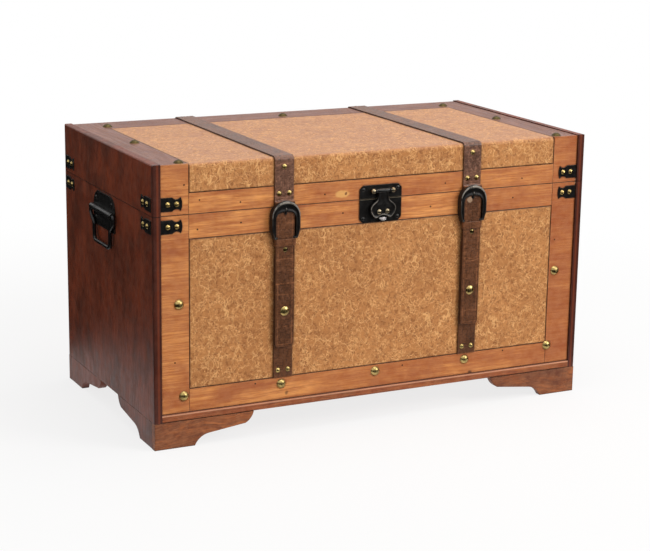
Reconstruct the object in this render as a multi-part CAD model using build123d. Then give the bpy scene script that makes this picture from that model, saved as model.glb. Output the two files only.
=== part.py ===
from build123d import *
import os
from math import asin, cos, sin

os.makedirs("parts", exist_ok=True)

# A storage trunk in millimetres. +X runs along the front to the viewer's right,
# +Y to the back and +Z up, with the feet standing on z = 0.

# Carcass
trunk_width = 760.0  # over the end panels
trunk_depth = 410.0  # over the edges of the end panels
trunk_height = 442.0  # to the top edge of the end panels
lid_height = 78.0  # from the seam between body and lid to the same edge
seam_gap = 0.3
foot_height = 42.7
end_panel_thickness = 12.5
wall_thickness = 9.0  # front, back and top boards
floor_thickness = 12.8
back_recess = 1.0  # back boards behind the edges of the end panels
panel_corner_radius = 2.5
nose_radius = 3.0

# Strips and leatherette panels on the front and top
strip_thickness = 4.0
front_recess = 2.5  # strips behind the front edges of the end panels
top_recess = 1.5  # battens below the top edges of the end panels
strip_edge_radius = 0.6
stile_width = 45.5
body_bottom_rail_height = 36.0
body_top_rail_height = 37.4
lid_rail_height = 32.0
back_batten_width = 62.0
leather_groove = 0.5  # open joint round a leatherette panel
leather_edge_radius = 1.0
leather_fold_radius = 5.0  # where it wraps over the front edge of the lid

# Feet: a flat sole, a cove, a slowly rising arch and a quarter round
foot_length = 165.0
foot_board_thickness = 12.0
foot_sole = 66.0
foot_cove_run = 24.0
foot_cove_rise = 17.5
foot_cove_sag = 4.0
foot_lip_run = 14.0
foot_lip_start = 25.0
foot_lip_sag = 2.5
foot_edge_radius = 0.8

# Leather straps
strap_x = 166.0  # each side of the middle
strap_width = 32.0
strap_thickness = 2.5
strap_edge_radius = 0.7
body_strap_lift = 0.5  # its lower end above the bottom rail
body_strap_drop = 76.0  # its upper end below the seam
strap_back_end = 10.0  # above the seam on the back
strap_front_end = 2.2  # above the seam on the front
tongue_thickness = 3.5
tongue_gap = 1.5  # between the body strap and the hanging tongue
tongue_drop = 221.0  # its lower end below the seam
tongue_corner_radius = 5.0
flex_rise = 7.2  # the line along which the hanging end swings, above the seam
flex_gap = 0.3
strap_fold_rise = 1.0  # the folded end above the flex line
keeper_drop = 61.0  # its lower edge below the seam
keeper_height = 11.2
keeper_wall = 1.6
keeper_clearance = 0.2

# Buckles
buckle_half_width = 24.0
buckle_rise = 10.0  # its top above the seam
buckle_height = 59.0
buckle_foot_half_width = 19.5
buckle_taper = 14.0  # height of the part that narrows to the bar
buckle_leg = 7.0
buckle_crescent = 17.5  # height of the wide curve at the top
buckle_arch_rise = 7.5  # of the opening's curved top
buckle_arch_corner = 7.0
buckle_bar = 5.5
buckle_back = 1.2  # the back of its legs above the strips
buckle_crest = 3.3  # thickness of the curve in front of the tongue
buckle_clearance = 0.2
buckle_edge_radius = 1.2
prong_radius = 1.2
prong_length = 12.0
prong_lap = 7.0  # how far its tip lies over the curve

# Press studs, and the rivets under the keepers
stud_drop = 164.0  # below the seam
stud_cap_radius = 7.5
stud_cap_rise = 3.0
stud_post_radius = 2.0
socket_radius = 5.5
socket_gap = 0.3
rivet_drop = 66.3  # below the seam
rivet_radius = 4.0
rivet_rise = 1.8
rivet_shank_radius = 1.5

# Nails and screws
dome_nail_radius = 8.0
dome_nail_rise = 5.0
dome_nail_shank = (1.2, 10.0)  # radius and length
small_nail_radius = 4.2
small_nail_rise = 2.6
small_nail_shank = (0.9, 4.5)
screw_radius = 3.0
screw_rise = 1.2
hinge_screw_shank = (1.3, 8.0)
latch_screw_shank = (1.0, 3.5)
handle_screw_shank = (1.5, 9.0)
strap_nail_spread = 8.5  # each side of the strap's middle
strap_low_nails = 12.0  # above the strap's lower end
strap_pair_nails = 20.5  # above the seam
strap_top_nail = 14.5  # below the top edge
rail_nail_shift = -1.5  # of the nails under the straps and between them
rail_nail_raise = 7.0  # above the middle of the bottom rail
corner_nails = ((-1, 9.0, 25.5), (1, 2.5, 30.5))  # side, from the stile's edge, above the floor board
stile_nails = ((-1, 16.4, 17.3), (1, 12.0, 5.7))  # side, from the stile's edge, above the panel's middle
batten_nail_inset = 11.0  # from the batten's inner edge
batten_front_nail = 8.5  # from the batten's front end
batten_middle_nail = -3.0  # from the middle of its length
back_nail_inset = 18.0  # from the back batten's front edge
back_nails_x = (-320.0, 0.0, 320.0)

# Corner plates
plate_thickness = 1.2
plate_height = 21.0
plate_seam_distance = 6.4  # lid plates above the seam, body plates below it
plate_front_length = 35.0
plate_end_length = 42.0
plate_end_inset = 7.0  # from the front and back edges of the end panel
plate_nails = (0.34, 0.75)  # shares of its length
plate_stations = (0.55, 0.74, 0.93)  # square end, waist and fan, as shares of its length
plate_waist = 3.2

# Latch
latch_x = 1.0
latch_width = 74.0
latch_plate_thickness = 1.6
latch_upper_height = 21.0
latch_lower_height = 37.0
latch_corner = 6.0
latch_seam_distance = 0.5
latch_screw_inset = 6.5
hasp_x = 3.0
hasp_axis_raise = 12.8  # above the seam
hasp_standoff = 1.7  # its knuckle from the plate
hasp_knuckle_radius = 2.9
hasp_knuckle_length = 22.0
hasp_thickness = 1.6
hasp_rim = 1.0
hasp_rim_width = 2.2
hasp_clearance = 0.3
hasp_length = 46.0
hasp_neck = (9.0, 11.5)  # half width, and how far below the pin it ends
hasp_flare = (11.8, 15.8)  # points of the outline, in the same way
hasp_shoulder = (17.0, 18.5)
hasp_widest = (23.0, 27.5)
hasp_waist = (14.5, 42.5)
hasp_chin_half_width = 8.0
hasp_rim_start = 5.8  # below the pin
hasp_lip_radius = 2.2
hasp_lip_length = 12.0
hasp_rivet_spread = 7.2
hasp_rivet_drop = 33.0
hasp_rivet_radius = 4.0
hasp_rivet_rise = 2.2
pin_radius = 1.5
pin_clearance = 0.05
latch_lug = 3.0
latch_ball_radius = 4.2
latch_ball_reach = 3.0  # its middle beyond the lug
catch_size = (14.0, 8.0)
catch_drop = 30.0  # its lower edge below the seam

# Back hinges
hinge_x = 230.0
hinge_length = 60.0
hinge_leaf_height = 28.0
hinge_leaf_thickness = 1.6
hinge_knuckles = 5
hinge_knuckle_gap = 0.3
hinge_barrel_clearance = 0.25
hinge_screws = 3
hinge_screw_distance = 17.0  # from the seam

# End handles
handle_shift = 7.0  # behind the middle of the trunk
handle_plate_width = 97.0
handle_plate_drop = 3.0  # its top below the seam
handle_plate_height = 56.0
handle_plate_thickness = 2.0
handle_plate_arch_radius = 24.0
handle_plate_corner_radius = 3.0
bail_radius = 3.0
bail_drop = 53.0
bail_side_gap = 2.0
bail_tail = 14.0
bail_neck = 11.0  # the straight start of each arm
bail_turn_in = 16.5
bail_turn_drop = 25.0  # where the arms have turned in
bail_neck_bend_radius = 8.0
bail_bend_radius = 8.0
bail_eye_bend_radius = 4.5
bail_clearance = 0.3
sleeve_wall = 1.6
sleeve_standoff = 5.4  # its axis from the end panel
handle_screw_inset = 12.0

# Places that follow from the sizes above
barrel_radius = pin_radius + pin_clearance + hinge_leaf_thickness
tongue_back = strap_thickness + tongue_gap
tongue_front = tongue_back + tongue_thickness
buckle_front = tongue_front + buckle_clearance + buckle_crest
front_reach = buckle_front - front_recess
back_reach = 2 * barrel_radius + hinge_barrel_clearance - back_recess
carcass_y = (front_reach - back_reach) / 2  # puts the middle of the whole trunk on y = 0
front_edge = carcass_y - trunk_depth / 2
back_edge = carcass_y + trunk_depth / 2
front_face = front_edge + front_recess
front_board = front_face + strip_thickness
front_inside = front_board + wall_thickness
back_face = back_edge - back_recess
back_inside = back_face - wall_thickness
split_height = trunk_height - lid_height
outside_x = trunk_width / 2
inside_x = outside_x - end_panel_thickness
stile_x = inside_x - stile_width
top_face = trunk_height - top_recess
top_board = top_face - strip_thickness
lid_ceiling = top_board - wall_thickness
body_top = split_height - seam_gap / 2
lid_bottom = split_height + seam_gap / 2
floor_top = foot_height + floor_thickness
body_rail_bottom = body_top - body_top_rail_height
leather_bottom = floor_top + body_bottom_rail_height
lid_leather_bottom = lid_bottom + lid_rail_height
batten_front = back_face - back_batten_width
body_strap_bottom = leather_bottom + body_strap_lift
body_strap_top = split_height - body_strap_drop
tongue_bottom = split_height - tongue_drop
flex_height = split_height + flex_rise
keeper_bottom = split_height - keeper_drop
buckle_top = split_height + buckle_rise
buckle_bottom = buckle_top - buckle_height
stud_height = split_height - stud_drop
rivet_height = split_height - rivet_drop
handle_plate_top = split_height - handle_plate_drop
handle_plate_bottom = handle_plate_top - handle_plate_height
handle_axis_height = handle_plate_bottom + handle_plate_height / 2

SIDES = (("left", -1), ("right", 1))
FRONT, BACK, UP = (0, -1, 0), (0, 1, 0), (0, 0, 1)


def save(node, shape):
    """Writes one named piece, or one group of like pieces."""
    export_step(Compound(shape) if isinstance(shape, list) else shape, f"parts/{node}.step")


def block(x, y, z):
    """A box given by two ends along each axis, in either order."""
    spans = [sorted(ends) for ends in (x, y, z)]
    middle = [(low + high) / 2 for low, high in spans]
    return Pos(*middle) * Box(*[high - low for low, high in spans])


def ahead(distance):
    """The y of a surface that far in front of the strips."""
    return front_face - distance


def front_edges(shape):
    return shape.edges().group_by(Axis.Y)[0]


def front_sheet(face, low, high):
    """Extrudes a face drawn in x and z between two distances in front of the strips."""
    plane = Plane(origin=(0, ahead(low), 0), x_dir=(1, 0, 0), z_dir=FRONT)
    return extrude(plane * face, amount=high - low)


def strip(x, z, radius=strip_edge_radius):
    """A piece of the front, as thick as the strips, with its front edges eased."""
    piece = block(x, (front_face, front_board), z)
    return fillet(front_edges(piece), radius)


def domed(radius, rise, shank):
    """A round head on z = 0 with its shank below, as one turned piece."""
    shank_radius, shank_length = shank
    sphere = (radius**2 + rise**2) / (2 * rise)
    half_angle = asin(radius / sphere) / 2
    shoulder = (sphere * sin(half_angle), 0, rise - sphere + sphere * cos(half_angle))
    stem = Polyline(
        (0, 0, rise),
        (0, 0, -shank_length),
        (shank_radius, 0, -shank_length),
        (shank_radius, 0, 0),
        (radius, 0, 0),
    )
    crown = ThreePointArc((radius, 0, 0), shoulder, (0, 0, rise))
    return revolve(make_face(stem + crown), Axis.Z)


def placed(shape, place, outward):
    """Turns a piece that stands on z = 0 so that it points outward from a place."""
    return Plane(origin=place, z_dir=outward).location * shape


# End panels: the lid's and the body's are cut from one height of board
def end_panel(side, bottom, top, rounded_top):
    panel = block((side * inside_x, side * outside_x), (front_edge, back_edge), (bottom, top))
    outer = panel.faces().sort_by(Axis.X)[-1 if side > 0 else 0]
    eased = outer.edges().filter_by(Axis.Z)
    if rounded_top:
        eased += outer.edges().filter_by(Axis.Y).sort_by(Axis.Z)[-1:]
    return fillet(eased, panel_corner_radius)


for name, side in SIDES:
    save(f"body_side_{name}", end_panel(side, foot_height, body_top, False))
    save(f"lid_side_{name}", end_panel(side, lid_bottom, trunk_height, True))

# Boards of the body and the lid, between the end panels
across = (-inside_x, inside_x)
floor = block(across, (front_edge, back_face), (foot_height, floor_top))
save("floor_board", fillet(front_edges(floor).filter_by(Axis.X), nose_radius))
save("body_front_board", block(across, (front_board, front_inside), (floor_top, body_top)))
save("body_back_board", block(across, (back_inside, back_face), (floor_top, body_top)))
save("lid_front_board", block(across, (front_board, front_inside), (lid_bottom, lid_ceiling)))
save("lid_back_board", block(across, (back_inside, back_face), (lid_bottom, lid_ceiling)))
save("lid_top_board", block(across, (front_board, back_face), (lid_ceiling, top_board)))

# Frame strips and battens
between = (-stile_x, stile_x)
for name, side in SIDES:
    width = (side * inside_x, side * stile_x)
    save(f"body_stile_{name}", strip(width, (floor_top, body_top)))
    save(f"lid_stile_{name}", strip(width, (lid_bottom, top_face)))
    batten = block(width, (front_board, back_face), (top_board, top_face))
    save(f"lid_batten_{name}", fillet(batten.edges().group_by(Axis.Z)[-1], strip_edge_radius))
save("body_bottom_rail", strip(between, (floor_top, leather_bottom)))
save("body_top_rail", strip(between, (body_rail_bottom, body_top)))
save("lid_front_rail", strip(between, (lid_bottom, lid_leather_bottom)))
back_batten = block(between, (batten_front, back_face), (top_board, top_face))
save("lid_batten_back", fillet(back_batten.edges().group_by(Axis.Z)[-1], strip_edge_radius))

# Leatherette on the front of the body, and over the front and top of the lid
leather_x = (-stile_x + leather_groove, stile_x - leather_groove)
leather_z = (leather_bottom + leather_groove, body_rail_bottom - leather_groove)
save("body_leather", strip(leather_x, leather_z, leather_edge_radius))
leather_end = batten_front - leather_groove
wrap = block(leather_x, (front_face, leather_end), (lid_leather_bottom + leather_groove, top_face))
wrap = fillet(wrap.edges().filter_by(Axis.X).group_by(Axis.Y)[0].sort_by(Axis.Z)[-1:], leather_fold_radius)
wrap -= block(leather_x, (front_board, leather_end), (lid_leather_bottom, top_board))
save("lid_leather", wrap)


# Feet
def foot_outline(start):
    """One foot board in its own plane: along from the corner, and up from the ground."""
    cove_end = (foot_sole + foot_cove_run, foot_cove_rise)
    lip_start = (foot_length - foot_lip_run, foot_lip_start)

    def bowed(a, b, sag):
        """The middle point of an arc from a to b that bows out by sag."""
        run, rise = b[0] - a[0], b[1] - a[1]
        chord = (run**2 + rise**2) ** 0.5
        return ((a[0] + b[0]) / 2 - rise / chord * sag, (a[1] + b[1]) / 2 + run / chord * sag)

    sole_end, tip = (foot_sole, 0), (foot_length, foot_height)
    sole = Polyline((start, foot_height), (start, 0), sole_end)
    cove = ThreePointArc(sole_end, bowed(sole_end, cove_end, foot_cove_sag), cove_end)
    arch = Line(cove_end, lip_start)
    lip = ThreePointArc(lip_start, bowed(lip_start, tip, -foot_lip_sag), tip)
    return make_face(sole + cove + arch + lip + Line(tip, (start, foot_height)))


def long_foot(side, y, outward):
    """A foot board along the front or the back, from the outside corner inwards."""
    plane = Plane(origin=(side * outside_x, y, 0), x_dir=(-side, 0, 0), z_dir=(0, side, 0))
    board = extrude(plane * foot_outline(0), amount=foot_board_thickness * -outward * side)
    shown = board.edges().group_by(Axis.Y)[0 if outward < 0 else -1]
    return fillet(shown, foot_edge_radius)


def end_foot(side, edge, inward):
    """A foot board under an end panel, that meets the long foot at the corner."""
    plane = Plane(origin=(side * outside_x, edge, 0), x_dir=(0, inward, 0), z_dir=(inward, 0, 0))
    board = extrude(plane * foot_outline(foot_board_thickness), amount=-side * inward * end_panel_thickness)
    shown = board.edges().group_by(Axis.X)[0 if side < 0 else -1]
    return fillet(shown, foot_edge_radius)


for name, side in SIDES:
    save(f"foot_front_{name}", long_foot(side, front_edge, -1))
    save(f"foot_back_{name}", long_foot(side, back_edge, 1))
    save(f"foot_end_{name}_front", end_foot(side, front_edge, 1))
    save(f"foot_end_{name}_back", end_foot(side, back_edge, -1))


# Straps
def strap_span(side, width=strap_width):
    return (side * strap_x - width / 2, side * strap_x + width / 2)


def lid_strap(side):
    """One strap from the back of the lid over the top and down to the flex line."""
    x = strap_span(side)
    top = top_face + strap_thickness
    low = lid_bottom + strap_front_end
    outer = block(x, (ahead(strap_thickness), back_face + strap_thickness), (low, top))
    bends = outer.edges().filter_by(Axis.X).group_by(Axis.Z)[-1]
    outer = fillet(bends, leather_fold_radius + strap_thickness)
    inner = block(x, (front_face, back_face), (low, top_face))
    bends = inner.edges().filter_by(Axis.X).group_by(Axis.Z)[-1].sort_by(Axis.Y)[:1]
    strap = outer - fillet(bends, leather_fold_radius)
    strap -= block(x, (back_face, back_face + strap_thickness), (low, lid_bottom + strap_back_end))
    folded_end = block(x, (ahead(tongue_back - flex_gap), front_face), (low, flex_height + strap_fold_rise))
    return strap + folded_end


def body_strap(side):
    strap = block(strap_span(side), (ahead(strap_thickness), front_face), (body_strap_bottom, body_strap_top))
    return fillet(front_edges(strap), strap_edge_radius)


def tongue(side):
    """The hanging end of the strap, with a round upper edge on the flex line."""
    x = strap_span(side)
    slab = block(x, (ahead(tongue_front), ahead(tongue_back)), (tongue_bottom, flex_height))
    corners = slab.edges().filter_by(Axis.Y).group_by(Axis.Z)[0]
    slab = fillet(corners, tongue_corner_radius)
    middle = (side * strap_x, ahead((tongue_back + tongue_front) / 2), flex_height)
    roll = Pos(*middle) * Rot(0, 90, 0) * Cylinder(tongue_thickness / 2, strap_width)
    leather = slab + roll
    rivet_hole = rivet_shank_radius + pin_clearance
    for radius, height in ((stud_post_radius, stud_height), (rivet_hole, rivet_height)):
        leather -= placed(Cylinder(radius, 2 * tongue_front), (side * strap_x, front_face, height), FRONT)
    return leather


def keeper(side):
    """A leather loop round the tongue just below the buckle."""
    z = (keeper_bottom, keeper_bottom + keeper_height)
    inner_width = strap_width + 2 * keeper_clearance
    low, high = tongue_back - keeper_clearance, tongue_front + keeper_clearance
    outer_width = inner_width + 2 * keeper_wall
    outer = block(strap_span(side, outer_width), (ahead(high + keeper_wall), ahead(low - keeper_wall)), z)
    outer = fillet(outer.edges().filter_by(Axis.Z), keeper_wall)
    return outer - block(strap_span(side, inner_width), (ahead(high), ahead(low)), z)


for name, side in SIDES:
    save(f"lid_strap_{name}", lid_strap(side))
    save(f"body_strap_{name}", body_strap(side))
    save(f"strap_tongue_{name}", [tongue(side), keeper(side)])


# Buckles
def buckle_outline():
    """The frame from the front, on its own middle line: wide at the top, narrower at the bar."""
    shoulder = buckle_top - buckle_half_width
    taper_top = buckle_bottom + buckle_taper
    right = Polyline(
        (buckle_half_width, shoulder), (buckle_half_width, taper_top), (buckle_foot_half_width, buckle_bottom)
    )
    foot = Line((buckle_foot_half_width, buckle_bottom), (-buckle_foot_half_width, buckle_bottom))
    left = Polyline(
        (-buckle_foot_half_width, buckle_bottom),
        (-buckle_half_width, taper_top),
        (-buckle_half_width, shoulder),
    )
    crown = ThreePointArc((-buckle_half_width, shoulder), (0, buckle_top), (buckle_half_width, shoulder))
    frame = make_face(right + foot + left + crown)
    half = buckle_half_width - buckle_leg
    spring = buckle_top - buckle_crescent - buckle_arch_rise
    low = buckle_bottom + buckle_bar
    sides = Polyline((-half, spring), (-half, low), (half, low), (half, spring))
    arch = ThreePointArc((-half, spring), (0, spring + buckle_arch_rise), (half, spring))
    opening = make_face(sides + arch)
    corners = opening.vertices().group_by(Axis.Y)[-1]
    return frame - fillet(corners, buckle_arch_corner)


def buckle(side):
    """The frame, open behind its curve and at its bar so that the tongue passes through, and its prong."""
    frame = Pos(side * strap_x, 0, 0) * front_sheet(buckle_outline(), buckle_back, buckle_front)
    frame = fillet(front_edges(frame), buckle_edge_radius)
    pass_x = strap_span(side, strap_width + 2 * keeper_clearance)
    bar_top = buckle_bottom + buckle_bar
    behind = (ahead(tongue_front + buckle_clearance), ahead(buckle_back))
    frame -= block(pass_x, behind, (bar_top, buckle_top))
    before_bar = (ahead(buckle_front), ahead(tongue_back - buckle_clearance))
    frame -= block(pass_x, before_bar, (buckle_bottom, bar_top))
    inner_top = buckle_top - buckle_crescent
    prong_layer = tongue_front + buckle_clearance + prong_radius
    base = Pos(side * strap_x, ahead(prong_layer), 0)
    notch_half = prong_radius + buckle_clearance
    frame -= block(
        (side * strap_x - notch_half, side * strap_x + notch_half),
        (ahead(buckle_front), ahead(prong_layer - notch_half)),
        (inner_top - notch_half, inner_top + prong_lap + notch_half),
    )
    prong_bottom = inner_top + prong_lap - prong_length
    prong = base * Pos(0, 0, prong_bottom + prong_length / 2) * Cylinder(prong_radius, prong_length)
    return [frame, fillet(prong.edges(), prong_radius / 2)]


def strap_studs(side):
    """The cap of the press stud and the rivet under the keeper, both through the tongue."""
    cap = domed(stud_cap_radius, stud_cap_rise, (stud_post_radius - pin_clearance, tongue_thickness))
    rivet = domed(rivet_radius, rivet_rise, (rivet_shank_radius, tongue_thickness))
    spots = ((cap, stud_height), (rivet, rivet_height))
    return [placed(piece, (side * strap_x, ahead(tongue_front), height), FRONT) for piece, height in spots]


def stud_socket(side):
    height = tongue_gap - socket_gap
    disc = Pos(0, 0, height / 2) * Cylinder(socket_radius, height)
    disc -= Pos(0, 0, height) * Cylinder(stud_post_radius + buckle_clearance, height)
    return placed(disc, (side * strap_x, ahead(strap_thickness), stud_height), FRONT)


for name, side in SIDES:
    save(f"buckle_{name}", buckle(side))
    save(f"strap_studs_{name}", strap_studs(side))
save("stud_sockets", [stud_socket(side) for _, side in SIDES])


# Corner plates
def plate_outline(length):
    """A plate that starts square at the corner, draws in at a waist and fans out to a bowed end."""
    half = plate_height / 2
    square_end, waist, fan = [share * length for share in plate_stations]
    upper = Polyline((0, -half), (0, half), (square_end, half))
    lower = Line((square_end, -half), (0, -half))
    notch_up = ThreePointArc((square_end, half), (waist, half - plate_waist), (fan, half))
    bow = ThreePointArc((fan, half), (length, 0), (fan, -half))
    notch_down = ThreePointArc((fan, -half), (waist, plate_waist - half), (square_end, -half))
    return make_face(upper + notch_up + bow + notch_down + lower)


def plate_planes(height):
    """The plane of each plate, seen from outside, with x pointing away from its corner, and its length."""
    spots = []
    for _, side in SIDES:
        for y, outward in ((front_face, -1), (back_face, 1)):
            origin = (side * inside_x, y, height)
            plane = Plane(origin=origin, x_dir=(-side, 0, 0), z_dir=(0, outward, 0))
            spots.append((plane, plate_front_length))
        for y, inward in ((front_edge, 1), (back_edge, -1)):
            origin = (side * outside_x, y + inward * plate_end_inset, height)
            plane = Plane(origin=origin, x_dir=(0, inward, 0), z_dir=(side, 0, 0))
            spots.append((plane, plate_end_length))
    return spots


def corner_plates(height):
    return [
        extrude(plane * plate_outline(length), amount=plate_thickness)
        for plane, length in plate_planes(height)
    ]


small_nail = domed(small_nail_radius, small_nail_rise, small_nail_shank)
dome_nail = domed(dome_nail_radius, dome_nail_rise, dome_nail_shank)


def corner_nail_group(height):
    return [
        plane.location * Pos(share * length, 0, plate_thickness) * small_nail
        for plane, length in plate_planes(height)
        for share in plate_nails
    ]


lid_plate_height = lid_bottom + plate_seam_distance + plate_height / 2
body_plate_height = body_top - plate_seam_distance - plate_height / 2
save("lid_corner_plates", corner_plates(lid_plate_height))
save("body_corner_plates", corner_plates(body_plate_height))


# Nails
def strap_nails(spots):
    """Small nails in both straps: each spot is an offset from the strap's middle and a height."""
    return [
        placed(small_nail, (side * strap_x + offset, ahead(strap_thickness), height), FRONT)
        for _, side in SIDES
        for offset, height in spots
    ]


nail_offsets = (-strap_nail_spread, strap_nail_spread)
low_spots = [(offset, body_strap_bottom + strap_low_nails) for offset in nail_offsets]
pair_height = lid_bottom + strap_pair_nails
high_spots = [(offset, pair_height) for offset in nail_offsets]
high_spots.append((0, top_face - strap_top_nail))
back_strap_nails = [
    placed(small_nail, (side * strap_x + offset, back_face + strap_thickness, pair_height), BACK)
    for _, side in SIDES
    for offset in nail_offsets
]
save("body_small_nails", strap_nails(low_spots) + corner_nail_group(body_plate_height))
save("lid_small_nails", strap_nails(high_spots) + back_strap_nails + corner_nail_group(lid_plate_height))

rail_nail_height = (floor_top + leather_bottom) / 2 + rail_nail_raise
panel_middle = (leather_bottom + body_rail_bottom) / 2
front_nails = [(x + rail_nail_shift, rail_nail_height) for x in (-strap_x, 0, strap_x)]
front_nails += [(side * (stile_x + inset), floor_top + height) for side, inset, height in corner_nails]
front_nails += [(side * (stile_x + inset), panel_middle + height) for side, inset, height in stile_nails]
save("body_dome_nails", [placed(dome_nail, (x, front_face, z), FRONT) for x, z in front_nails])
batten_spots = (front_board + batten_front_nail, carcass_y + batten_middle_nail)
top_nails = [(side * (stile_x + batten_nail_inset), y) for _, side in SIDES for y in batten_spots]
top_nails += [(x, batten_front + back_nail_inset) for x in back_nails_x]
save("lid_dome_nails", [placed(dome_nail, (x, y, top_face), UP) for x, y in top_nails])


# Latch
def latch_plate(bottom, top, cut_at_top):
    """A flat plate with two of its corners cut."""
    half = latch_width / 2
    if cut_at_top:
        cut_z, inner, other = top, top - latch_corner, bottom
    else:
        cut_z, inner, other = bottom, bottom + latch_corner, top
    points = [(-half, other), (-half, inner), (latch_corner - half, cut_z), (half - latch_corner, cut_z)]
    points += [(half, inner), (half, other)]
    sheet = front_sheet(make_face(Polyline(*points, close=True)), 0, latch_plate_thickness)
    return Pos(latch_x, 0, 0) * sheet


def rod_along_x(radius, x, layer, height):
    """A round bar between two x, at a distance in front of the strips."""
    return Pos(sum(x) / 2, ahead(layer), height) * Rot(0, 90, 0) * Cylinder(radius, abs(x[1] - x[0]))


upper_plate_bottom = lid_bottom + latch_seam_distance
lower_plate_top = body_top - latch_seam_distance
hasp_axis = split_height + hasp_axis_raise
hasp_layer = latch_plate_thickness + hasp_standoff + hasp_knuckle_radius
hasp_back = hasp_layer - hasp_thickness / 2
hasp_face = hasp_layer + hasp_thickness / 2
knuckle_end = hasp_knuckle_length / 2
lug_start = knuckle_end + hasp_clearance
lug_end = lug_start + latch_lug
pin_x = (hasp_x - lug_end, hasp_x + lug_end)
pin_hole = rod_along_x(pin_radius + pin_clearance, pin_x, hasp_layer, hasp_axis)

hinge_plate = latch_plate(upper_plate_bottom, upper_plate_bottom + latch_upper_height, True)
for side in (-1, 1):
    lug_x = (hasp_x + side * lug_start, hasp_x + side * lug_end)
    foot_z = (hasp_axis - hasp_knuckle_radius, hasp_axis + hasp_knuckle_radius)
    hinge_plate += block(lug_x, (ahead(hasp_layer), ahead(latch_plate_thickness)), foot_z)
    hinge_plate += rod_along_x(hasp_knuckle_radius, lug_x, hasp_layer, hasp_axis)
save("latch_hinge_plate", hinge_plate - pin_hole)


def latch_pin():
    """The pin with its ball ends, turned as one piece, each ball flat against its lug."""
    seat = (latch_ball_radius**2 - latch_ball_reach**2) ** 0.5
    tip = lug_end + latch_ball_reach + latch_ball_radius
    crown = (lug_end + latch_ball_reach, latch_ball_radius)
    profile = Line((-tip, 0), (tip, 0))
    profile += Line((-lug_end, pin_radius), (lug_end, pin_radius))
    for side in (-1, 1):
        profile += Line((side * lug_end, pin_radius), (side * lug_end, seat))
        profile += ThreePointArc((side * lug_end, seat), (side * crown[0], crown[1]), (side * tip, 0))
    turned = revolve(make_face(profile), Axis.X)
    return Pos(hasp_x, ahead(hasp_layer), hasp_axis) * turned


save("latch_pin", latch_pin())

catch_plate = latch_plate(lower_plate_top - latch_lower_height, lower_plate_top, False)
catch_x = (hasp_x - catch_size[0] / 2, hasp_x + catch_size[0] / 2)
catch_z = (split_height - catch_drop, split_height - catch_drop + catch_size[1])
catch = block(catch_x, (ahead(hasp_back - hasp_clearance), ahead(latch_plate_thickness)), catch_z)
save("latch_catch_plate", catch_plate + catch)


def hasp_outline():
    """The flap below its knuckle, on its own middle line: a neck, round shoulders and a blunt point."""
    half_neck = hasp_neck[0]
    tip = (hasp_chin_half_width, hasp_length)
    marks = (hasp_neck, hasp_flare, hasp_shoulder, hasp_widest, hasp_waist, tip)
    right = [(half_width, -drop) for half_width, drop in marks]
    left = [(-x, z) for x, z in right]
    curves = Line((-half_neck, 0), (half_neck, 0)) + Line(right[5], left[5])
    for end, points in ((half_neck, right), (-half_neck, left)):
        neck_foot, flare, shoulder, widest, waist, chin = points
        curves += Line((end, 0), neck_foot) + ThreePointArc(neck_foot, flare, shoulder)
        curves += ThreePointArc(shoulder, widest, waist) + Line(waist, chin)
    return make_face(curves)


flap_place = Pos(hasp_x, 0, hasp_axis)
flap = flap_place * front_sheet(hasp_outline(), hasp_back, hasp_face)
rim = hasp_outline() - offset(hasp_outline(), amount=-hasp_rim_width)
rim -= Rectangle(2 * hasp_widest[0], 2 * hasp_rim_start)
flap += flap_place * front_sheet(rim, hasp_face, hasp_face + hasp_rim)
knuckle_x = (hasp_x - knuckle_end, hasp_x + knuckle_end)
flap += rod_along_x(hasp_knuckle_radius, knuckle_x, hasp_layer, hasp_axis)
lip_x = (hasp_x - hasp_lip_length / 2, hasp_x + hasp_lip_length / 2)
flap += rod_along_x(hasp_lip_radius, lip_x, hasp_face, hasp_axis - hasp_length)
flap -= pin_hole
rivet = domed(hasp_rivet_radius, hasp_rivet_rise, (pin_radius, hasp_thickness - pin_clearance))
hole = Cylinder(pin_radius + pin_clearance, 2 * hasp_face)
rivets = []
for side in (-1, 1):
    spot = (hasp_x + side * hasp_rivet_spread, ahead(hasp_face), hasp_axis - hasp_rivet_drop)
    flap -= placed(hole, spot, FRONT)
    rivets.append(placed(rivet, spot, FRONT))
save("latch_hasp", [flap, *rivets])

# Back hinges
barrel_y = back_face + hinge_barrel_clearance + barrel_radius
knuckle_pitch = hinge_length / hinge_knuckles


def hinge_leaf(middle, direction, first):
    """A leaf below (direction -1) or above the seam, with every second knuckle from the first."""
    x = (middle - hinge_length / 2, middle + hinge_length / 2)
    y = (back_face, back_face + hinge_leaf_thickness)
    near = split_height + direction * (barrel_radius + hinge_knuckle_gap)
    leaf = block(x, y, (near, split_height + direction * hinge_leaf_height))
    for number in range(first, hinge_knuckles, 2):
        start = x[0] + number * knuckle_pitch + hinge_knuckle_gap / 2
        span = (start, start + knuckle_pitch - hinge_knuckle_gap)
        leaf += block(span, y, (near + direction * hinge_leaf_thickness, split_height))
        barrel = Rot(0, 90, 0) * Cylinder(barrel_radius, span[1] - span[0])
        leaf += Pos(sum(span) / 2, barrel_y, split_height) * barrel
    bore = Cylinder(pin_radius + pin_clearance, 2 * hinge_length)
    return leaf - Pos(middle, barrel_y, split_height) * Rot(0, 90, 0) * bore


hinge_places = [side * hinge_x for _, side in SIDES]
save("hinge_lower_leaves", [hinge_leaf(x, -1, 0) for x in hinge_places])
save("hinge_upper_leaves", [hinge_leaf(x, 1, 1) for x in hinge_places])
hinge_pin = Rot(0, 90, 0) * Cylinder(pin_radius, hinge_length)
save("hinge_pins", [Pos(x, barrel_y, split_height) * hinge_pin for x in hinge_places])


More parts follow.
